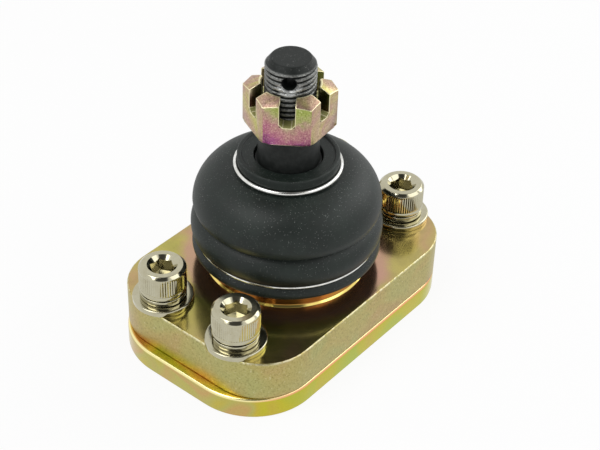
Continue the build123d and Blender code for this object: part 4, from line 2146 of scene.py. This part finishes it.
@dataclass
class Studio:
    """Camera, floor, backdrop light and lamps.

    Attributes:
        azimuth: Angle of the camera about the upright axis, in degrees.
        elevation: Angle of the camera above the floor, in degrees.
        roll: Roll of the camera, in degrees.
        distance: Distance from the camera to its target, in millimetres.
        target: Point that the camera looks at, in millimetres.
        lens: Focal length in millimetres, for a 36 mm sensor.
        floor_size: Side of the floor, in metres.
        floor_white: Share of white that the camera sees in the floor. The rest keeps the shadow.
        light: Strength of the light that the world throws on the object.
        ceiling_dim: How much dimmer the mirrored ceiling is than the walls.
        room_dim: How much dimmer the mirrored room behind the camera is.
        room_elevation: Angle of that dark above the floor, in degrees.
        lamp_distance: Distance from a lamp to the point that it looks at, in metres.
        aim_height: Height of that point, in metres.
    """

    azimuth: float = -51.746
    elevation: float = 38.166
    roll: float = 2.024
    distance: float = 430.28
    target: tuple[float, float, float] = (12.271, 4.876, 20.0)
    lens: float = 88.18
    floor_size: float = 6.0
    floor_white: float = 0.90
    light: float = 0.5
    ceiling_dim: float = 0.76
    room_dim: float = 0.92
    room_elevation: float = 50.0
    lamp_distance: float = 0.9
    aim_height: float = 0.03

    def back(self, azimuth: float = 0.0, elevation: float | None = None) -> Vector:
        """Return the direction from the object to the camera, or to a lamp.

        Args:
            azimuth: Angle from the camera's side, in degrees.
            elevation: Angle above the floor, in degrees, or None for the camera's own.

        Returns:
            The direction, one long.
        """
        az = radians(self.azimuth + azimuth)
        el = radians(self.elevation if elevation is None else elevation)
        return Vector((sin(az) * cos(el), -cos(az) * cos(el), sin(el)))

    def camera(self) -> None:
        """Place the camera."""
        az, roll = radians(self.azimuth), radians(self.roll)
        back = self.back()
        right = Vector((cos(az), sin(az), 0))
        up = back.cross(right)
        rolled_right = right * cos(roll) + up * sin(roll)
        rolled_up = up * cos(roll) - right * sin(roll)
        data = bpy.data.cameras.new("camera")
        data.sensor_width = 36.0
        data.lens = self.lens
        data.clip_start = 0.01
        data.clip_end = 50.0
        eye = (Vector(self.target) + back * self.distance) * MM
        axes = Matrix((rolled_right, rolled_up, back)).transposed().to_4x4()
        camera = bpy.data.objects.new("camera", data)
        camera.matrix_world = Matrix.Translation(eye) @ axes
        bpy.context.scene.collection.objects.link(camera)
        bpy.context.scene.camera = camera

    def floor(self) -> None:
        """Lay the pale floor, which reads as white to the camera but keeps a shadow."""
        half = self.floor_size / 2 / MM
        corners = [(-half, -half, 0), (half, -half, 0), (half, half, 0), (-half, half, 0)]
        sheet = mesh_object("studio_floor", [(x, y, -0.02) for x, y, _ in corners], [[0, 1, 2, 3]])
        graph = Graph("floor_paper")
        path = graph.node("ShaderNodeLightPath", {}, {})
        seen = Value(graph, path.outputs["Is Camera Ray"])
        seen = seen.larger(Value(graph, path.outputs["Is Glossy Ray"]))
        seen = seen.larger(Value(graph, path.outputs["Is Transmission Ray"]))
        paper = graph.node("ShaderNodeBsdfDiffuse", {}, {"Color": (0.85, 0.85, 0.85, 1.0)})
        white = graph.node("ShaderNodeEmission", {}, {"Color": (1.0, 1.0, 1.0, 1.0)})
        mixed = graph.node(
            "ShaderNodeMixShader",
            {},
            {0: seen * self.floor_white, 1: paper.outputs[0], 2: white.outputs[0]},
        )
        graph.tree.links.new(mixed.outputs[0], graph.output.inputs["Surface"])
        sheet.data.materials.append(graph.material)

    def world(self) -> None:
        """Fill the world with soft light.

        The camera sees it as white. Polished metal sees white walls, a dimmer ceiling
        and the dark of the room round the camera.
        """
        graph = Graph("unused")
        bpy.data.materials.remove(graph.material)
        world = bpy.data.worlds.new("studio_air")
        bpy.context.scene.world = world
        world.use_nodes = True
        graph.tree = world.node_tree
        graph.tree.nodes.clear()
        output = graph.tree.nodes.new("ShaderNodeOutputWorld")
        path = graph.node("ShaderNodeLightPath", {}, {})
        mirrored = Value(graph, path.outputs["Is Glossy Ray"])
        seen = Value(graph, path.outputs["Is Camera Ray"])
        seen = seen.larger(Value(graph, path.outputs["Is Transmission Ray"]))
        way = graph.node("ShaderNodeTexCoord", {}, {}).outputs["Generated"]
        parts = graph.node("ShaderNodeSeparateXYZ", {}, {0: way})
        ceiling = Value(graph, parts.outputs[2]).step(0.76, 0.92)
        lined = graph.node(
            "ShaderNodeVectorMath",
            {"operation": "DOT_PRODUCT"},
            {0: way, 1: self.back(elevation=self.room_elevation)},
        )
        room = Value(graph, lined.outputs["Value"]).step(0.90, 0.94)
        walls = (1.0 - ceiling * self.ceiling_dim) * (1.0 - room * self.room_dim)
        strength = seen + (1.0 - seen) * (mirrored * walls + (1.0 - mirrored) * self.light)
        air = graph.node("ShaderNodeBackground", {}, {"Strength": strength})
        air.inputs["Color"].default_value = (1.0, 1.0, 1.0, 1.0)
        graph.tree.links.new(air.outputs[0], output.inputs["Surface"])

    def hang(self, lamp: Lamp) -> None:
        """Hang one lamp so that it looks at the object.

        Args:
            lamp: The lamp.
        """
        data = bpy.data.lights.new(lamp.name, "AREA")
        data.energy = lamp.power
        data.size = lamp.size
        back = self.back(lamp.azimuth, lamp.elevation)
        hung = bpy.data.objects.new(lamp.name, data)
        hung.location = back * self.lamp_distance + Vector((0, 0, self.aim_height))
        hung.rotation_euler = back.to_track_quat("Z", "Y").to_euler()
        bpy.context.scene.collection.objects.link(hung)

    def build(self) -> None:
        """Set up the whole studio."""
        bpy.context.scene.view_settings.view_transform = "Standard"
        self.camera()
        self.floor()
        self.world()
        for lamp in LAMPS:
            self.hang(lamp)


# ------------------------------------------------------------------ the part


TOP_FILM = ZincFilm(
    (
        (0.00, (0.41, 0.41, 0.09)),
        (0.35, (0.50, 0.43, 0.12)),
        (0.60, (0.48, 0.40, 0.14)),
        (0.80, (0.51, 0.35, 0.17)),
        (1.00, (0.44, 0.43, 0.12)),
    ),
    patch=26.0,
)
SIDE_FILM = ZincFilm(
    (
        (0.0, (0.43, 0.41, 0.16)),
        (0.5, (0.47, 0.40, 0.15)),
        (1.0, (0.48, 0.35, 0.15)),
    ),
    patch=12.0,
)
LEDGE_FILM = ZincFilm(
    (
        (0.0, (0.66, 0.56, 0.05)),
        (0.4, (0.46, 0.48, 0.04)),
        (0.6, (0.70, 0.50, 0.08)),
        (1.0, (0.62, 0.26, 0.07)),
    ),
    patch=14.0,
)
RIM_FILM = ZincFilm(
    (
        (0.00, (0.42, 0.48, 0.06)),
        (0.25, (0.52, 0.47, 0.04)),
        (0.50, (0.54, 0.43, 0.06)),
        (0.70, (0.47, 0.43, 0.12)),
        (0.85, (0.54, 0.36, 0.13)),
        (1.00, (0.50, 0.40, 0.13)),
    ),
    patch=15.0,
    contrast=1.5,
)
COLLAR_FILM = ZincFilm(
    (
        (0.0, (0.47, 0.33, 0.07)),
        (0.5, (0.43, 0.22, 0.06)),
        (1.0, (0.38, 0.29, 0.08)),
    ),
    patch=14.0,
)
NUT_FILM = ZincFilm(
    (
        (0.00, (0.50, 0.47, 0.14)),
        (0.25, (0.54, 0.47, 0.19)),
        (0.48, (0.52, 0.38, 0.23)),
        (0.72, (0.51, 0.32, 0.26)),
        (1.00, (0.54, 0.44, 0.20)),
    ),
    patch=8.0,
)
NUT_STAIN = (
    (0.00, (0.36, 0.41, 0.11)),
    (0.16, (0.41, 0.41, 0.16)),
    (0.30, (0.46, 0.33, 0.23)),
    (0.50, (0.50, 0.25, 0.25)),
    (0.75, (0.46, 0.16, 0.25)),
    (1.00, (0.37, 0.10, 0.28)),
)


class BallJoint:
    """The whole part, dressed piece by piece."""

    def plates(self) -> None:
        """Build and dress both plates."""
        pair = PlatePair(ScrewSet.places())
        lower = PlateFinish(
            "lower_plate_film",
            LEDGE_FILM,
            RIM_FILM,
            top_level=Extent.of("lower_plate").high.z,
            wear=0.0,
            rim_highlight_share=0.85,
            side_drift=0.5,
            top_roughness=0.15,
            side_roughness=0.2,
            pits_and_glints=0.15,
            grain=0.01,
        )
        dress(pair.lower(), lower.make(), Body.HOUSING, ["lower_plate"])
        upper = PlateFinish(
            "upper_plate_film",
            TOP_FILM,
            SIDE_FILM,
            top_level=Extent.of("upper_plate").high.z,
            foot_level=Extent.of("upper_plate").low.z,
            # A painted shadow along the upper plate's foot.
            foot_shade=0.85,
            pits_and_glints=0.8,
            halo_share=0.7,
        )
        dress(pair.upper(), upper.make(), Body.HOUSING, ["upper_plate"])

    def housing(self) -> None:
        """Build the housing and finish the pieces that it holds."""
        film = TurnedZinc(COLLAR_FILM)
        dress(Housing().build(), film.make(), Body.HOUSING, ["ball_housing"])
        cover = Plain("end_cover_film", (0.50, 0.43, 0.17), (0.42, 0.34, 0.14), 1.0, 0.3)
        seats = Plain("seat_acetal", (0.72, 0.70, 0.64), (0.64, 0.62, 0.56), 0.0, 0.4)
        spring = Plain("spring_steel_blued", (0.22, 0.22, 0.23), (0.16, 0.15, 0.15), 1.0, 0.35)
        self._refinish("end_cover", cover.make())
        shared = seats.make()
        self._refinish("lower_seat", shared)
        self._refinish("upper_seat", shared)
        self._refinish("preload_washer", spring.make())

    @staticmethod
    def _refinish(node: str, material: bpy.types.Material) -> None:
        """Give a new material to a CAD node that keeps its shape.

        Args:
            node: The node's name.
            material: The material.
        """
        piece = bpy.data.objects[node]
        for place in piece.material_slots:
            place.material = material
        log.info("%s: %d faces, shape kept", node, len(piece.data.polygons))

    def stud(self) -> None:
        """Build and dress the stud and its nut."""
        dress(BallStud().build(), Phosphate().make(), Body.STUD, ["ball_stud"])
        foot = Extent.of("castle_nut").low.z
        finishes = [
            NutZinc("nut_film", NUT_FILM, NUT_STAIN, foot=foot).make(),
            # The rounded edges take this lighter finish: worn metal and painted highlight.
            NutZinc("nut_film_worn_and_highlit", NUT_FILM, NUT_STAIN, foot=foot, wear=0.85).make(),
        ]
        dress(CastleNut().build(), finishes, Body.STUD, ["castle_nut"])

    def screws(self) -> None:
        """Build and dress the screws and washers."""
        nickel = BrightMetal(
            "screw_nickel", colour=(0.49, 0.465, 0.34), dull=(0.42, 0.385, 0.26)
        )
        ScrewSet(nickel.make()).build()

    def boot(self) -> None:
        """Build and dress the boot and its clips."""
        wire = BrightMetal(
            "clip_wire_plated",
            colour=(0.82, 0.82, 0.79),
            dull=(0.50, 0.49, 0.44),
            roughness=0.16,
        )
        DustBoot().build(BootRubber().make(), wire.make())

    def build(self) -> None:
        """Build every piece in order."""
        self.plates()
        self.housing()
        self.stud()
        self.screws()
        self.boot()


def main() -> None:
    """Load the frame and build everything."""
    logging.basicConfig(level=logging.INFO, format="%(message)s")
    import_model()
    Studio().build()
    BallJoint().build()


if __name__ == "__main__":
    main()
